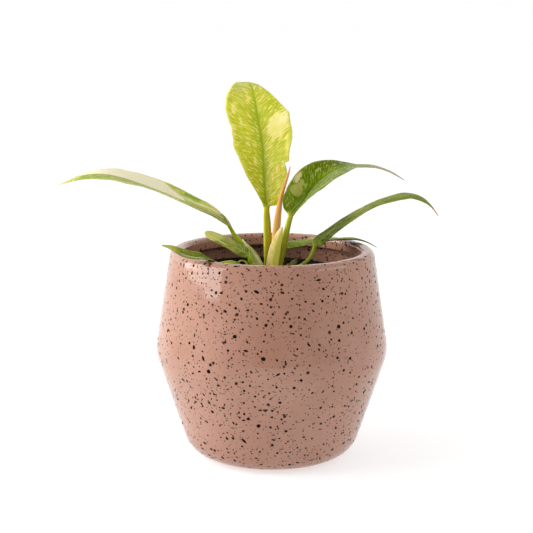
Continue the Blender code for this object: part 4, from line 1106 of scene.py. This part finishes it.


# How each leaf looks. form: shape details; skin: colours as (deep, middle, pale) and how they are laid;
# washes and strokes: patches of colour laid on the leaf (see painted), washes softly under the streaks and
# strokes over them. Halves: a is the half named by the leaf's side, b the other. stalk: the colours of the
# stalk's two sides, half b's then half a's, lighter on the side where the light falls: painted light and
# shade; the stalk's own gain brightens it to make up for shade near the pot, which is painted light too.
CREAM, SAND, IVORY = srgb(238, 228, 200), srgb(226, 216, 150), srgb(214, 208, 156)
SILVER, SAGE, OLIVE = srgb(156, 164, 104), srgb(136, 146, 84), srgb(148, 150, 66)
BOTTLE, MOSS, VIVID = srgb(80, 102, 2), srgb(106, 126, 12), srgb(136, 166, 18)
PEACH, TAN, RUST = srgb(226, 196, 120), srgb(178, 156, 104), srgb(178, 116, 54)
STRAW, BROWN = srgb(196, 190, 96), srgb(104, 74, 40)
LOOKS = {
    "leaf_upright": dict(
        gain=1.14,
        form=dict(seed=2, ripple=0.55, quilt=0.09, vein=0.95, groove=0.22, spacing=4.6,
                  notch=[(14.0, "a", 0.0, 1.0)]),
        skin=dict(a=(srgb(174, 178, 24), srgb(196, 194, 44), srgb(222, 212, 104)), back=srgb(190, 192, 100),
                  stalk=(srgb(160, 158, 50), srgb(132, 124, 8)), stalk_painted_light_gain=1.7, rib=srgb(138, 156, 6), rib_on=0.9,
                  rib_fade=(20, 44, 0.95), streak=0.55, width=0.28, fleck=srgb(234, 220, 138), flecks=0.3, tooth=0.34,
                  rough=(0.36, 0.48), glow=0.12, feather=1.5, rim=srgb(206, 204, 96), rim_b=srgb(206, 200, 96), vein_dark=0.12),
        washes=[(14, -6, 24, 8, 0.6, srgb(172, 172, 16), 0.6), (24, 8, 20, 9, 0.6, srgb(184, 188, 66), 0.6),
                (74, 9, 20, 12, 0.4, srgb(168, 174, 38), 0.6), (80, -6, 12, 14, 0.2, srgb(180, 180, 56), 0.7),
                # The greyish pale wash at 86 mm across the top is painted sheen, where the top bends back.
                (86, -3, 5, 12, 0, srgb(176, 180, 104), 0.6), (26, 1.9, 28, 1.5, 0, srgb(158, 162, 76), 0.8),
                (48, -2.4, 40, 2.2, 0, srgb(156, 170, 20), 0.7)],
        strokes=[(55, 13.0, 8.8, 9.0, 0.75, srgb(226, 214, 124), 0.5), (61, 17.5, 3.4, 4.2, 0.7, srgb(238, 222, 164), 0.6), (58, 10.0, 4, 4, 0.8, srgb(228, 216, 136), 0.7),
                 (42, 18.0, 7.0, 2.6, 0.7, srgb(226, 216, 112), 0.5), (57.5, -18.0, 3.2, 1.6, 0.8, srgb(236, 206, 150), 0.6),
                 (76, -4.6, 5.5, 1.1, 0.2, srgb(226, 202, 104), 0.6), (26, 9.6, 4.6, 1.7, 0.9, srgb(228, 200, 112), 0.6),
                 (20, 5.6, 3.0, 0.8, 0.8, srgb(226, 200, 116), 0.6), (62, -12, 3.0, 0.9, 0.8, srgb(226, 212, 120), 0.6),
                 (46, -10, 3.5, 0.9, 0.8, srgb(224, 212, 118), 0.6), (70, -15, 3.0, 1.0, 0.8, srgb(230, 214, 128), 0.6),
                 (33, -6, 3.0, 0.8, 0.8, srgb(222, 206, 110), 0.6), (30, 13.5, 3.4, 0.9, 0.8, srgb(222, 210, 116), 0.6)]),
    "leaf_right_near": dict(
        gain=1.32,
        form=dict(seed=5, ripple=0.4, quilt=0.07, vein=0.8, groove=0.24, spacing=4.0),
        # Half b is painted sheen: its middle and pale greys and its lengthwise lines stand for the white surroundings
        # reflected at a grazing angle; its deep green is the leaf's own.
        skin=dict(a=(srgb(82, 104, 0), srgb(98, 122, 4), srgb(118, 136, 26)), b=(srgb(74, 96, 8), srgb(102, 116, 50), srgb(140, 146, 104)),
                  back=srgb(136, 150, 80), stalk=(srgb(104, 108, 8), srgb(152, 156, 52)), stalk_painted_light_gain=1.9, rib=srgb(98, 118, 10),
                  rib_on=0.6, streak=0.18, width=0.2, fleck=srgb(150, 156, 80), flecks=0.35, tooth=0.3, rough=(0.26, 0.36),
                  coat=0.03, rim=srgb(126, 112, 48), rim_b=srgb(110, 124, 36), glow=0.05, lines_on=0.1, lines_b=1.0, shine=0.05, feather=0.7, vein_dark=0.15,
                  tip=(62, 76, srgb(142, 132, 92))),
        washes=[(8, 2, 8, 5, 0, srgb(84, 108, 0), 0.7), (44, 8, 16, 6, 0, srgb(70, 86, 0), 0.5),
                (62, 4, 8, 6, 0, srgb(112, 118, 52), 0.7)],
        strokes=[(16.4, 8.2, 4.2, 4.4, 0.1, srgb(148, 146, 72), 0.4), (22.8, 12.6, 3.2, 2.1, 0.2, srgb(184, 172, 124), 0.4),
                 (22.0, 8.4, 1.8, 1.8, 0.3, srgb(146, 148, 72), 0.4), (22.2, 4.6, 1.6, 0.9, 1.2, srgb(138, 144, 66), 0.5),
                 (33.6, 7.0, 2.2, 1.1, 1.2, srgb(140, 146, 66), 0.6), (39.7, 7.4, 0.9, 0.7, 0, srgb(130, 138, 50), 0.6),
                 (43.6, 6.4, 1.0, 0.7, 0, srgb(134, 142, 56), 0.6), (7, 1.3, 9, 0.7, 0, srgb(146, 152, 66), 0.6),
                 (4.6, 6.2, 1.8, 0.8, 0.6, srgb(148, 142, 66), 0.6)]),
    "leaf_left_long": dict(
        gain=1.04,
        form=dict(seed=7, ripple=0.4, quilt=0.05, vein=1.1, groove=0.2),
        skin=dict(a=(srgb(160, 172, 40), srgb(190, 196, 88), srgb(226, 218, 156)), b=(srgb(118, 138, 26), srgb(150, 162, 70), srgb(186, 190, 116)),
                  back=srgb(172, 184, 106), stalk=(srgb(120, 140, 20), srgb(150, 164, 44)), stalk_painted_light_gain=1.5, rib=srgb(178, 160, 104),
                  rib_on=0.7, streak=0.55, width=0.2, fleck=srgb(222, 214, 160), flecks=0.2, tooth=0.22, rough=(0.3, 0.4),
                  rim=srgb(214, 196, 140), rim_b=srgb(196, 196, 112), glow=0.1, lines_on=0.12, lines_b=0.5, feather=0.28,
                  tip=(112, 121, srgb(206, 190, 132))),
        washes=[(8, -8, 26, 9, 0, srgb(84, 104, 0), 0.35, 3), (4, 0, 8, 8, 0, srgb(96, 116, 4), 0.4), (80, -11.5, 30, 2.2, 0, srgb(186, 188, 110), 0.6),
                (98, -4, 12, 2.4, 0, srgb(130, 156, 36), 0.6), (34, 14.0, 20, 1.4, 0, srgb(140, 162, 12), 0.6)],
        strokes=[(81.4, 10, 36.7, 9.6, 1.37, CREAM, 0.05, 8), (30.0, 11.4, 6.5, 3.0, -0.6, srgb(116, 152, 0), 0.3),
                 (27, 5.0, 7.5, 1.0, 1.2, srgb(216, 212, 160), 0.5), (19.5, 6.0, 7.5, 1.1, 1.1, srgb(222, 214, 160), 0.5),
                 (12, 5.4, 4.5, 1.3, 0.9, srgb(222, 210, 152), 0.5), (11, 2.6, 6, 0.9, 0.9, srgb(188, 190, 116), 0.5),
                 (34, 5.2, 4.5, 1.2, 1.3, srgb(204, 204, 140), 0.5),
                 (85, -0.9, 0.8, 0.8, 0, BROWN, 0.4), (75.6, -1.2, 0.9, 0.8, 0, BROWN, 0.4)]),
    "leaf_right_long": dict(
        gain=0.84,
        form=dict(seed=9, ripple=0.35, quilt=0.04, vein=1.1, groove=0.2),
        # Its sage and silver-grey middle and pale colours and its lengthwise lines are painted reflection of the bright
        # surroundings, standing in for a shine it lacks (shine is nought); its deep greens are its own.
        skin=dict(a=(srgb(128, 140, 60), srgb(152, 162, 92), srgb(182, 186, 126)), b=(srgb(104, 122, 24), srgb(146, 158, 80), srgb(184, 190, 128)),
                  back=srgb(96, 116, 20), stalk=(srgb(112, 128, 30), srgb(146, 158, 56)), stalk_painted_light_gain=1.5, rib=srgb(140, 152, 70),
                  rib_on=0.5, streak=0.12, width=0.2, fleck=srgb(186, 180, 128), flecks=0.05, tooth=0.14, shine=0.0, rough=(0.4, 0.5),
                  rim=srgb(170, 140, 84), glow=0.02, lines_on=0.4, feather=0.4,
                  tip=(90, 97, srgb(196, 132, 72))),
        # The pale grey-white wash along half b's edge near 34 mm is a painted highlight.
        washes=[(8, -4, 26, 24, 0, srgb(50, 70, 0), 0.25, 3), (34, -12, 9, 3, 0, srgb(176, 180, 136), 0.6), (30, -6, 8, 4, 0, srgb(100, 116, 30), 0.5),
                (68, -6, 10, 3.0, 0, srgb(116, 140, 34), 0.6), (84, -3, 9, 5, 0, srgb(112, 136, 24), 0.6)],
        strokes=[(1.5, 0, 3.5, 6, 0, srgb(124, 138, 40), 0.6), (57, -2.2, 0.8, 0.7, 0, BROWN, 0.4), (40, 3, 6, 0.5, 0, srgb(148, 112, 66), 0.5)]),
    "leaf_left_short": dict(
        gain=1.15,
        form=dict(seed=11, ripple=0.2, quilt=0.04, groove=0.16),
        skin=dict(a=(srgb(136, 140, 56), srgb(154, 156, 78), srgb(182, 180, 112)), b=(srgb(126, 132, 50), srgb(144, 146, 64), srgb(172, 170, 96)),
                  back=srgb(134, 142, 60), stalk=(srgb(88, 106, 4), srgb(112, 128, 20)), stalk_painted_light_gain=1.9, rib=srgb(160, 162, 84),
                  rib_on=0.45, streak=0.2, width=0.2, fleck=srgb(196, 190, 128), flecks=0.1, tooth=0.14, rough=(0.32, 0.42),
                  rim=srgb(190, 180, 116), glow=0.04, feather=0.3, lines_on=0.15, shine=0.03),
        washes=[(4, -4, 20, 6.4, -0.6, srgb(54, 76, 0), 0.22), (2, 3, 11, 5, -0.5, srgb(76, 98, 0), 0.3), (31, 0, 6, 8, 0, srgb(200, 192, 112), 0.6),
                (16, -3.4, 8, 2.6, 0, srgb(138, 140, 56), 0.6)],
        strokes=[(24, -2.6, 6.5, 0.9, -1.2, srgb(194, 188, 124), 0.6)]),
    "leaf_left_low": dict(
        gain=1.0,
        form=dict(seed=13, ripple=0.25, quilt=0.04, groove=0.16),
        skin=dict(a=(srgb(106, 118, 20), srgb(132, 138, 38), srgb(164, 168, 80)), b=(srgb(84, 100, 12), srgb(112, 120, 30), srgb(168, 174, 112)),
                  back=srgb(116, 128, 46), stalk=(srgb(88, 104, 20), srgb(116, 130, 34)), stalk_painted_light_gain=1.3, rib=srgb(112, 124, 34),
                  rib_on=0.4, streak=0.3, width=0.2, fleck=srgb(190, 190, 130), flecks=0.05, tooth=0.2, shine=0.0, rough=(0.4, 0.5),
                  rim=srgb(176, 172, 84), rim_b=srgb(140, 142, 60), glow=0.05, lines_on=0.3, lines_b=0.5, feather=0.3),
        washes=[(57, 0, 9, 8, 0, srgb(206, 200, 92), 0.6), (24, 0, 16, 10, 0, srgb(84, 98, 20), 0.6)],
        # The pale silvery streak along half b is painted sheen.
        strokes=[(38, -3.0, 9, 1.0, 0, srgb(178, 182, 128), 0.5)]),
    "leaf_rear_right": dict(
        gain=0.88,
        form=dict(seed=15, ripple=0.3, quilt=0.04, groove=0.16),
        # Half a's silver-green middle and pale colours are painted sheen along the leaf's upper strip, and the
        # lengthwise lines are painted streaks of that sheen; half b's green is the leaf's own.
        skin=dict(a=(srgb(116, 134, 44), srgb(146, 156, 80), srgb(178, 184, 124)), b=(srgb(92, 112, 14), srgb(124, 138, 48), srgb(160, 168, 94)),
                  back=srgb(104, 122, 34), stalk=(srgb(96, 114, 20), srgb(126, 140, 44)), stalk_painted_light_gain=1.3, rib=srgb(120, 136, 50),
                  rib_on=0.5, streak=0.35, width=0.2, fleck=srgb(176, 180, 116), flecks=0.2, tooth=0.35, shine=0.01, rough=(0.4, 0.5),
                  rim=srgb(186, 184, 120), rim_b=srgb(120, 132, 40), glow=0.04, lines_on=0.45, feather=0.3),
        washes=[(4, -2, 12, 7, 0, srgb(100, 120, 30), 0.6), (54, 0, 16, 9, 0, srgb(124, 118, 50), 0.5), (70, 0, 6, 4, 0, srgb(128, 116, 70), 0.6)],
        strokes=[]),
    "leaf_front_small": dict(
        gain=1.2,
        form=dict(seed=17, ripple=0.1, quilt=0.02, groove=0.1),
        skin=dict(a=(srgb(116, 134, 24), srgb(142, 152, 36), srgb(178, 176, 72)), back=srgb(128, 138, 40),
                  stalk=(srgb(96, 112, 16), srgb(126, 138, 30)), rib=srgb(160, 158, 50), rib_on=0.5, streak=0.4, fleck=srgb(196, 190, 100),
                  flecks=0.1, rim=srgb(196, 190, 96), rim_b=srgb(150, 146, 50), glow=0.06),
        washes=[(3, 0, 6, 4, 0, srgb(110, 130, 10), 0.6)], strokes=[]),
    "sheath_front": dict(
        gain=1.55,
        form=dict(seed=19, ripple=0.1, quilt=0.0, groove=0.0, thick=0.5, root=4.0, rib=0.2),
        # Half a's colours are made lighter to brighten it where it lies in shade: painted light.
        skin=dict(a=(srgb(178, 172, 62), srgb(190, 184, 74), srgb(204, 196, 96)), b=(srgb(160, 150, 76), srgb(172, 160, 86), srgb(188, 174, 110)),
                  back=srgb(158, 150, 80), stalk=(srgb(160, 152, 80), srgb(150, 150, 60)), rib=srgb(166, 160, 74), rib_on=0.0,
                  streak=0.35, fleck=srgb(186, 170, 110), flecks=0.1, tooth=0.2, rim=srgb(158, 156, 66), rim_b=srgb(178, 146, 116), glow=0.06,
                  vein_dark=0.0, lines_on=0.3),
        washes=[(16, -4.6, 24, 1.4, 0, srgb(186, 152, 112), 0.5), (32, 0, 6, 5, 0, srgb(206, 184, 140), 0.7),
                (20, 2.6, 16, 2.4, 0, srgb(196, 194, 74), 0.6)],
        strokes=[(33, 0, 1.6, 2, 0, srgb(206, 168, 140), 0.6)]),
    "sheath_left": dict(
        gain=1.5,
        form=dict(seed=21, ripple=0.1, quilt=0.0, groove=0.0, thick=0.42, root=4.0, rib=0.2),
        skin=dict(a=(srgb(146, 152, 72), srgb(160, 164, 90), srgb(200, 200, 150)), back=srgb(150, 156, 84),
                  stalk=(srgb(140, 146, 70), srgb(150, 154, 70)), rib=srgb(156, 160, 84), rib_on=0.0, streak=0.4, fleck=srgb(196, 194, 150),
                  flecks=0.1, tooth=0.2, rim=srgb(214, 212, 176), rim_b=srgb(140, 150, 70), glow=0.06, vein_dark=0.0, lines_on=0.4),
        washes=[(12, 2.2, 20, 0.9, 0, srgb(206, 206, 166), 0.5), (25, 0, 4, 3, 0, srgb(190, 192, 150), 0.7)], strokes=[]),
    "sheath_dry": dict(
        gain=1.2,
        form=dict(seed=23, ripple=0.2, quilt=0.0, groove=0.0, thick=0.35, root=2.5, rib=0.2),
        skin=dict(a=(srgb(104, 96, 56), srgb(136, 126, 80), srgb(170, 160, 116)), back=srgb(130, 120, 84), stalk=(srgb(120, 108, 66), srgb(120, 108, 66)),
                  rib=srgb(120, 108, 66), rib_on=0.0, streak=0.4, fleck=srgb(150, 110, 72), flecks=0.3, glow=0.03, vein_dark=0.0,
                  lines_on=0.6, tip=(8, 11, srgb(84, 54, 30))),
        washes=[], strokes=[]),
}
# round shoots: x, y, z, radius
SHOOTS = {
    "leaf_front_hook": [(-16.8, -11.8, 125.2, 1.0), (-16.6, -11.6, 131.0, 0.9), (-17.2, -11.4, 134.4, 0.8),
                        (-18.8, -11.2, 136.0, 0.7), (-20.9, -11.2, 136.2, 0.6), (-23.2, -11.6, 135.2, 0.4)],
    "new_leaf": [(1.6, 0.4, 126.7, 1.6), (1.7, 0.2, 140.0, 2.2), (2.4, -0.6, 152.0, 2.6),
                 (3.2, -1.6, 160.0, 2.5), (4.2, -2.4, 168.7, 2.0), (5.4, -3.0, 177.4, 1.5),
                 (7.9, -3.4, 186.4, 1.15), (10.2, -3.6, 193.4, 0.8), (11.8, -3.8, 199.4, 0.35)],
}


def rolled(name, rows, material, overlap=0.34, turns=40, fine=0.6, seed=1, root=4.0):
    """A rolled, unopened leaf: a tapering roll whose outer edge laps over, winding slowly up its length."""
    rows = [(rows[0][0], rows[0][1], rows[0][2] - root, rows[0][3])] + list(rows)
    rows = np.array(rows, float)
    u = np.concatenate([[0.0], np.cumsum(np.linalg.norm(np.diff(rows[:, :3], axis=0), axis=1))])
    s = np.linspace(0, u[-1], max(20, int(u[-1] / fine)))
    place, r = through(u, rows[:, :3], s), steady(u, rows[:, 3], s)
    along = np.gradient(place, s, axis=0)
    along /= np.linalg.norm(along, axis=1)[:, None]
    across = np.array([1.0, 0.0, 0.0])[None, :] - along * along[:, :1]
    across /= np.linalg.norm(across, axis=1)[:, None]
    other = np.cross(along, across)
    a = 2 * math.pi * np.arange(turns) / turns
    verts, lf, vein, kind = [], [], [], []
    for i in range(len(s)):
        lap_at = 1.1 + s[i] * 0.02
        d = (a - lap_at) % (2 * math.pi)
        rr = r[i] * (1 + overlap * 0.28 * (1 - d / (2 * math.pi)) * np.exp(-d / 4.5)) * (1 - 0.03)
        verts.append(place[i] + (across[i][None, :] * np.cos(a)[:, None] + other[i][None, :] * np.sin(a)[:, None]) * rr[:, None])
        x = d / (2 * math.pi) * 10
        lf.append(np.stack([np.full(turns, s[i]), x, d / math.pi - 1], axis=1))
        vein.append(np.stack([s[i] - x, x, np.full(turns, 1.0)], axis=1))
        kind.append(np.stack([np.ones(turns), np.exp(-(np.minimum(d, 2 * math.pi - d) / 0.16) ** 2), np.ones(turns)], axis=1))
    points = {"lf": np.vstack(lf), "vein": np.vstack(vein), "kind": np.vstack(kind)}
    return solid(name, np.vstack(verts), ring_faces(len(s), turns), points=points, node=name.replace("_fine", ""),
                 slot=name.replace("_fine", ""), mats=[material])


def shoot_skin(name, low, high, tip, seam, span, low_left=None):
    s = Shader(name)
    lf, kind = s.attribute("lf"), s.attribute("kind")
    along, out, part = s.split(lf)
    _, lap, _ = s.split(kind)
    lines = s.noise(s.join(s.math("MULTIPLY", along, 0.06), s.math("MULTIPLY", out, 2.2), 2.0), 1.0, 3, 0.6)
    cloud = s.noise(lf, 0.3, 2, 0.5)
    colour = s.mix(s.ramp(along, span[0], span[1]), low, high)
    colour = s.mix(s.ramp(along, span[2], span[3]), colour, tip)
    if low_left is not None:
        x = s.split(s.here())[0]
        colour = s.mix(s.math("MULTIPLY", s.ramp(part, -0.2, 0.5), s.ramp(along, span[0], span[1], 0.8, 0.3)), colour, low_left)
    colour = s.mix(s.math("MULTIPLY", s.ramp(lines, 0.4, 0.68), 0.35), colour, s.mix(0.5, colour, seam))
    colour = s.mix(s.math("MULTIPLY", lap, 0.7), colour, seam)
    normal = s.bump(s.math("ADD", lines, s.math("MULTIPLY", cloud, 0.4)), 0.0002, 0.6)
    return s.surface(colour, 0.4, normal, IOR=1.45, Specular_IOR_Level=0.2, Subsurface_Weight=0.06,
                     Subsurface_Radius=(0.002, 0.0016, 0.0006), Subsurface_Scale=1.0)


# ---- put together -----------------------------------------------------------------------------------
pot = turned("ceramic_pot_fine", pot_profile, POT_TURNS, wobble=0.12, specks=True,
             node="ceramic_pot", slot="ceramic_pot", mats=[glaze()])

rim_low = NURSERY_RIM_Z - 6.0
nursery_profile = closer(rounded([
    (0.6, NURSERY_BASE_Z, 0, 0), (NURSERY_BASE_R, NURSERY_BASE_Z, 1.5, 4),
    (nursery_r(rim_low), rim_low, 0.5, 3),
    (NURSERY_RIM_R - 1.0, rim_low, 0.3, 3), (NURSERY_RIM_R, NURSERY_RIM_Z - 1.0, 0.6, 3),
    (NURSERY_RIM_R - 0.5, NURSERY_RIM_Z, 0.4, 4), (NURSERY_RIM_R - 1.8, NURSERY_RIM_Z, 0.5, 4),
    (nursery_r(NURSERY_RIM_Z) - NURSERY_WALL, NURSERY_RIM_Z - 1.6, 0.6, 3),
    (nursery_r(NURSERY_BASE_Z + NURSERY_WALL) - NURSERY_WALL, NURSERY_BASE_Z + NURSERY_WALL, 0.8, 3),
    (0.6, NURSERY_BASE_Z + NURSERY_WALL, 0, 0),
]), 6.0)
nursery = turned("nursery_pot_fine", nursery_profile, 180, (NURSERY_X, NURSERY_Y), node="nursery_pot",
                 slot="nursery_pot", mats=[black_plastic()])

soil = soil_piece(peat())
crown_piece(old_stem())

for key, spec in LEAVES.items():
    look = LOOKS[key]
    shape = leaf(key + "_fine", spec["side"], spec["stalk"], spec["blade"], spec["curl"], spec["front"], **look["form"])
    place_leaf(shape, look, key)
rolled("new_leaf_fine", SHOOTS["new_leaf"],
       shoot_skin("new_leaf_skin", srgb(224, 176, 96), srgb(222, 164, 84), srgb(224, 160, 136), srgb(186, 120, 44),
                  (30, 46, 66, 74), low_left=srgb(240, 204, 150)))
rolled("leaf_front_hook_fine", SHOOTS["leaf_front_hook"],
       shoot_skin("hook_skin", srgb(132, 140, 48), srgb(160, 150, 72), srgb(206, 190, 130), srgb(110, 116, 40), (4, 10, 16, 22)))

chips(bark(), [(-1, -1, 11.5), (-9, -13.6, 3.5), (-19.6, -14, 3.0), (-16.8, -11.8, 3.0), (3.4, 12.2, 3.5), (10, 9.6, 4.0), (12.6, 3.4, 4.0)])

SKY = (0.10, 0.66, 1.02, 0.88, 0.22)
KEY = 5.4
SIDE = 1.9
GLOW = 0.6

# ---- floor, light and camera ------------------------------------------------------------------------
floor_mesh = bpy.data.meshes.new("floor")
floor_mesh.from_pydata([(-60, -60, -0.0002), (60, -60, -0.0002), (60, 60, -0.0002), (-60, 60, -0.0002)], [], [(0, 1, 2, 3)])
floor_shader = Shader("pale_floor")
floor_mesh.materials.append(floor_shader.surface((0.5, 0.5, 0.5, 1.0), 0.8, Specular_IOR_Level=0.0,
                                                 Emission_Color=(1.0, 1.0, 1.0, 1.0), Emission_Strength=GLOW))
floor = bpy.data.objects.new("floor", floor_mesh)
scene.collection.objects.link(floor)

# A white studio: bright to both sides and behind, dim on the viewer's side.
sky = Shader("studio", world=True)
coords = sky.tree.nodes.new("ShaderNodeTexCoord").outputs["Generated"]
sky_x, sky_y, sky_z = sky.split(coords)
level = SKY[0]
for part, sign, much in ((sky_x, 1.0, SKY[1]), (sky_x, -1.0, SKY[2]), (sky_y, 1.0, SKY[3]), (sky_z, 1.0, SKY[4])):
    level = sky.math("ADD", sky.math("MULTIPLY", sky.math("MAXIMUM", sky.math("MULTIPLY", part, sign), 0.0), much), level)
path = sky.tree.nodes.new("ShaderNodeLightPath")
soft = sky.tree.nodes.new("ShaderNodeBackground")
soft.inputs[0].default_value = (1.0, 1.0, 1.0, 1.0)
sky.put(soft.inputs[1], level)
white = sky.tree.nodes.new("ShaderNodeBackground")
white.inputs[0].default_value = (1.0, 1.0, 1.0, 1.0)
white.inputs[1].default_value = 1.0
pick = sky.tree.nodes.new("ShaderNodeMixShader")
sky.tree.links.new(path.outputs["Is Camera Ray"], pick.inputs[0])
sky.tree.links.new(soft.outputs[0], pick.inputs[1])
sky.tree.links.new(white.outputs[0], pick.inputs[2])
out = sky.tree.nodes.new("ShaderNodeOutputWorld")
sky.tree.links.new(pick.outputs[0], out.inputs[0])
scene.world = sky.owner


def softbox(name, corner, across, up, radiance):
    """A flat rectangular light from its lower corner, its side across and its height, facing the pot."""
    corner, across, up = Vector(corner), Vector(across), Vector(up)
    light = bpy.data.lights.new(name, "AREA")
    light.shape, light.size, light.size_y = "RECTANGLE", across.length, up.length
    light.energy = radiance * math.pi * across.length * up.length
    ob = bpy.data.objects.new(name, light)
    centre = corner + across / 2 + up / 2
    x = across.normalized()
    z = x.cross(up.normalized()).normalized()
    if z.dot(centre) < 0:      # the light shines along its own -Z, so +Z points away from the pot
        x, z = -x, -z
    y = z.cross(x)
    ob.matrix_world = Matrix((
        (x.x, y.x, z.x, centre.x), (x.y, y.y, z.y, centre.y), (x.z, y.z, z.z, centre.z), (0, 0, 0, 1)))
    scene.collection.objects.link(ob)
    return ob


# The left softbox stands on its edge, a little above the table.
softbox("key_softbox", (-0.74, -0.52, 0.167), (-0.11, 0.83, -0.036), (0.0, 0.0, 0.70), KEY)
# A weaker one stands high on the right.
away = Vector((math.sin(math.radians(70)) * math.cos(math.radians(30)), -math.cos(math.radians(70)) * math.cos(math.radians(30)), 0.5))
wide = Vector((math.cos(math.radians(70)), math.sin(math.radians(70)), 0.0)) * 0.85
tall = away.cross(wide).normalized() * 0.5
tall = tall if tall.z > 0 else -tall
softbox("side_softbox", away * 1.1 + Vector((0, 0, 0.12)) - wide / 2 - tall / 2, wide, tall, SIDE)

camera = bpy.data.cameras.new("camera")
camera.lens, camera.sensor_width = 100.61, 36.0
camera.clip_start, camera.clip_end = 0.05, 200.0
eye = bpy.data.objects.new("camera", camera)
scene.collection.objects.link(eye)
pitch, yaw, roll = (math.radians(a) for a in (10.783, -0.224, -0.283))
ahead = Vector((math.sin(yaw) * math.cos(pitch), math.cos(yaw) * math.cos(pitch), -math.sin(pitch)))
right = Vector((math.cos(yaw), -math.sin(yaw), 0.0))
up = right.cross(ahead)
cam_x = right * math.cos(roll) - up * math.sin(roll)
cam_y = right * math.sin(roll) + up * math.cos(roll)
eye.matrix_world = Matrix((
    (cam_x.x, cam_y.x, -ahead.x, 0.0), (cam_x.y, cam_y.y, -ahead.y, -1.0),
    (cam_x.z, cam_y.z, -ahead.z, 0.3207), (0, 0, 0, 1)))
scene.camera = eye
scene.view_settings.view_transform = "Standard"
scene.view_settings.look = "None"
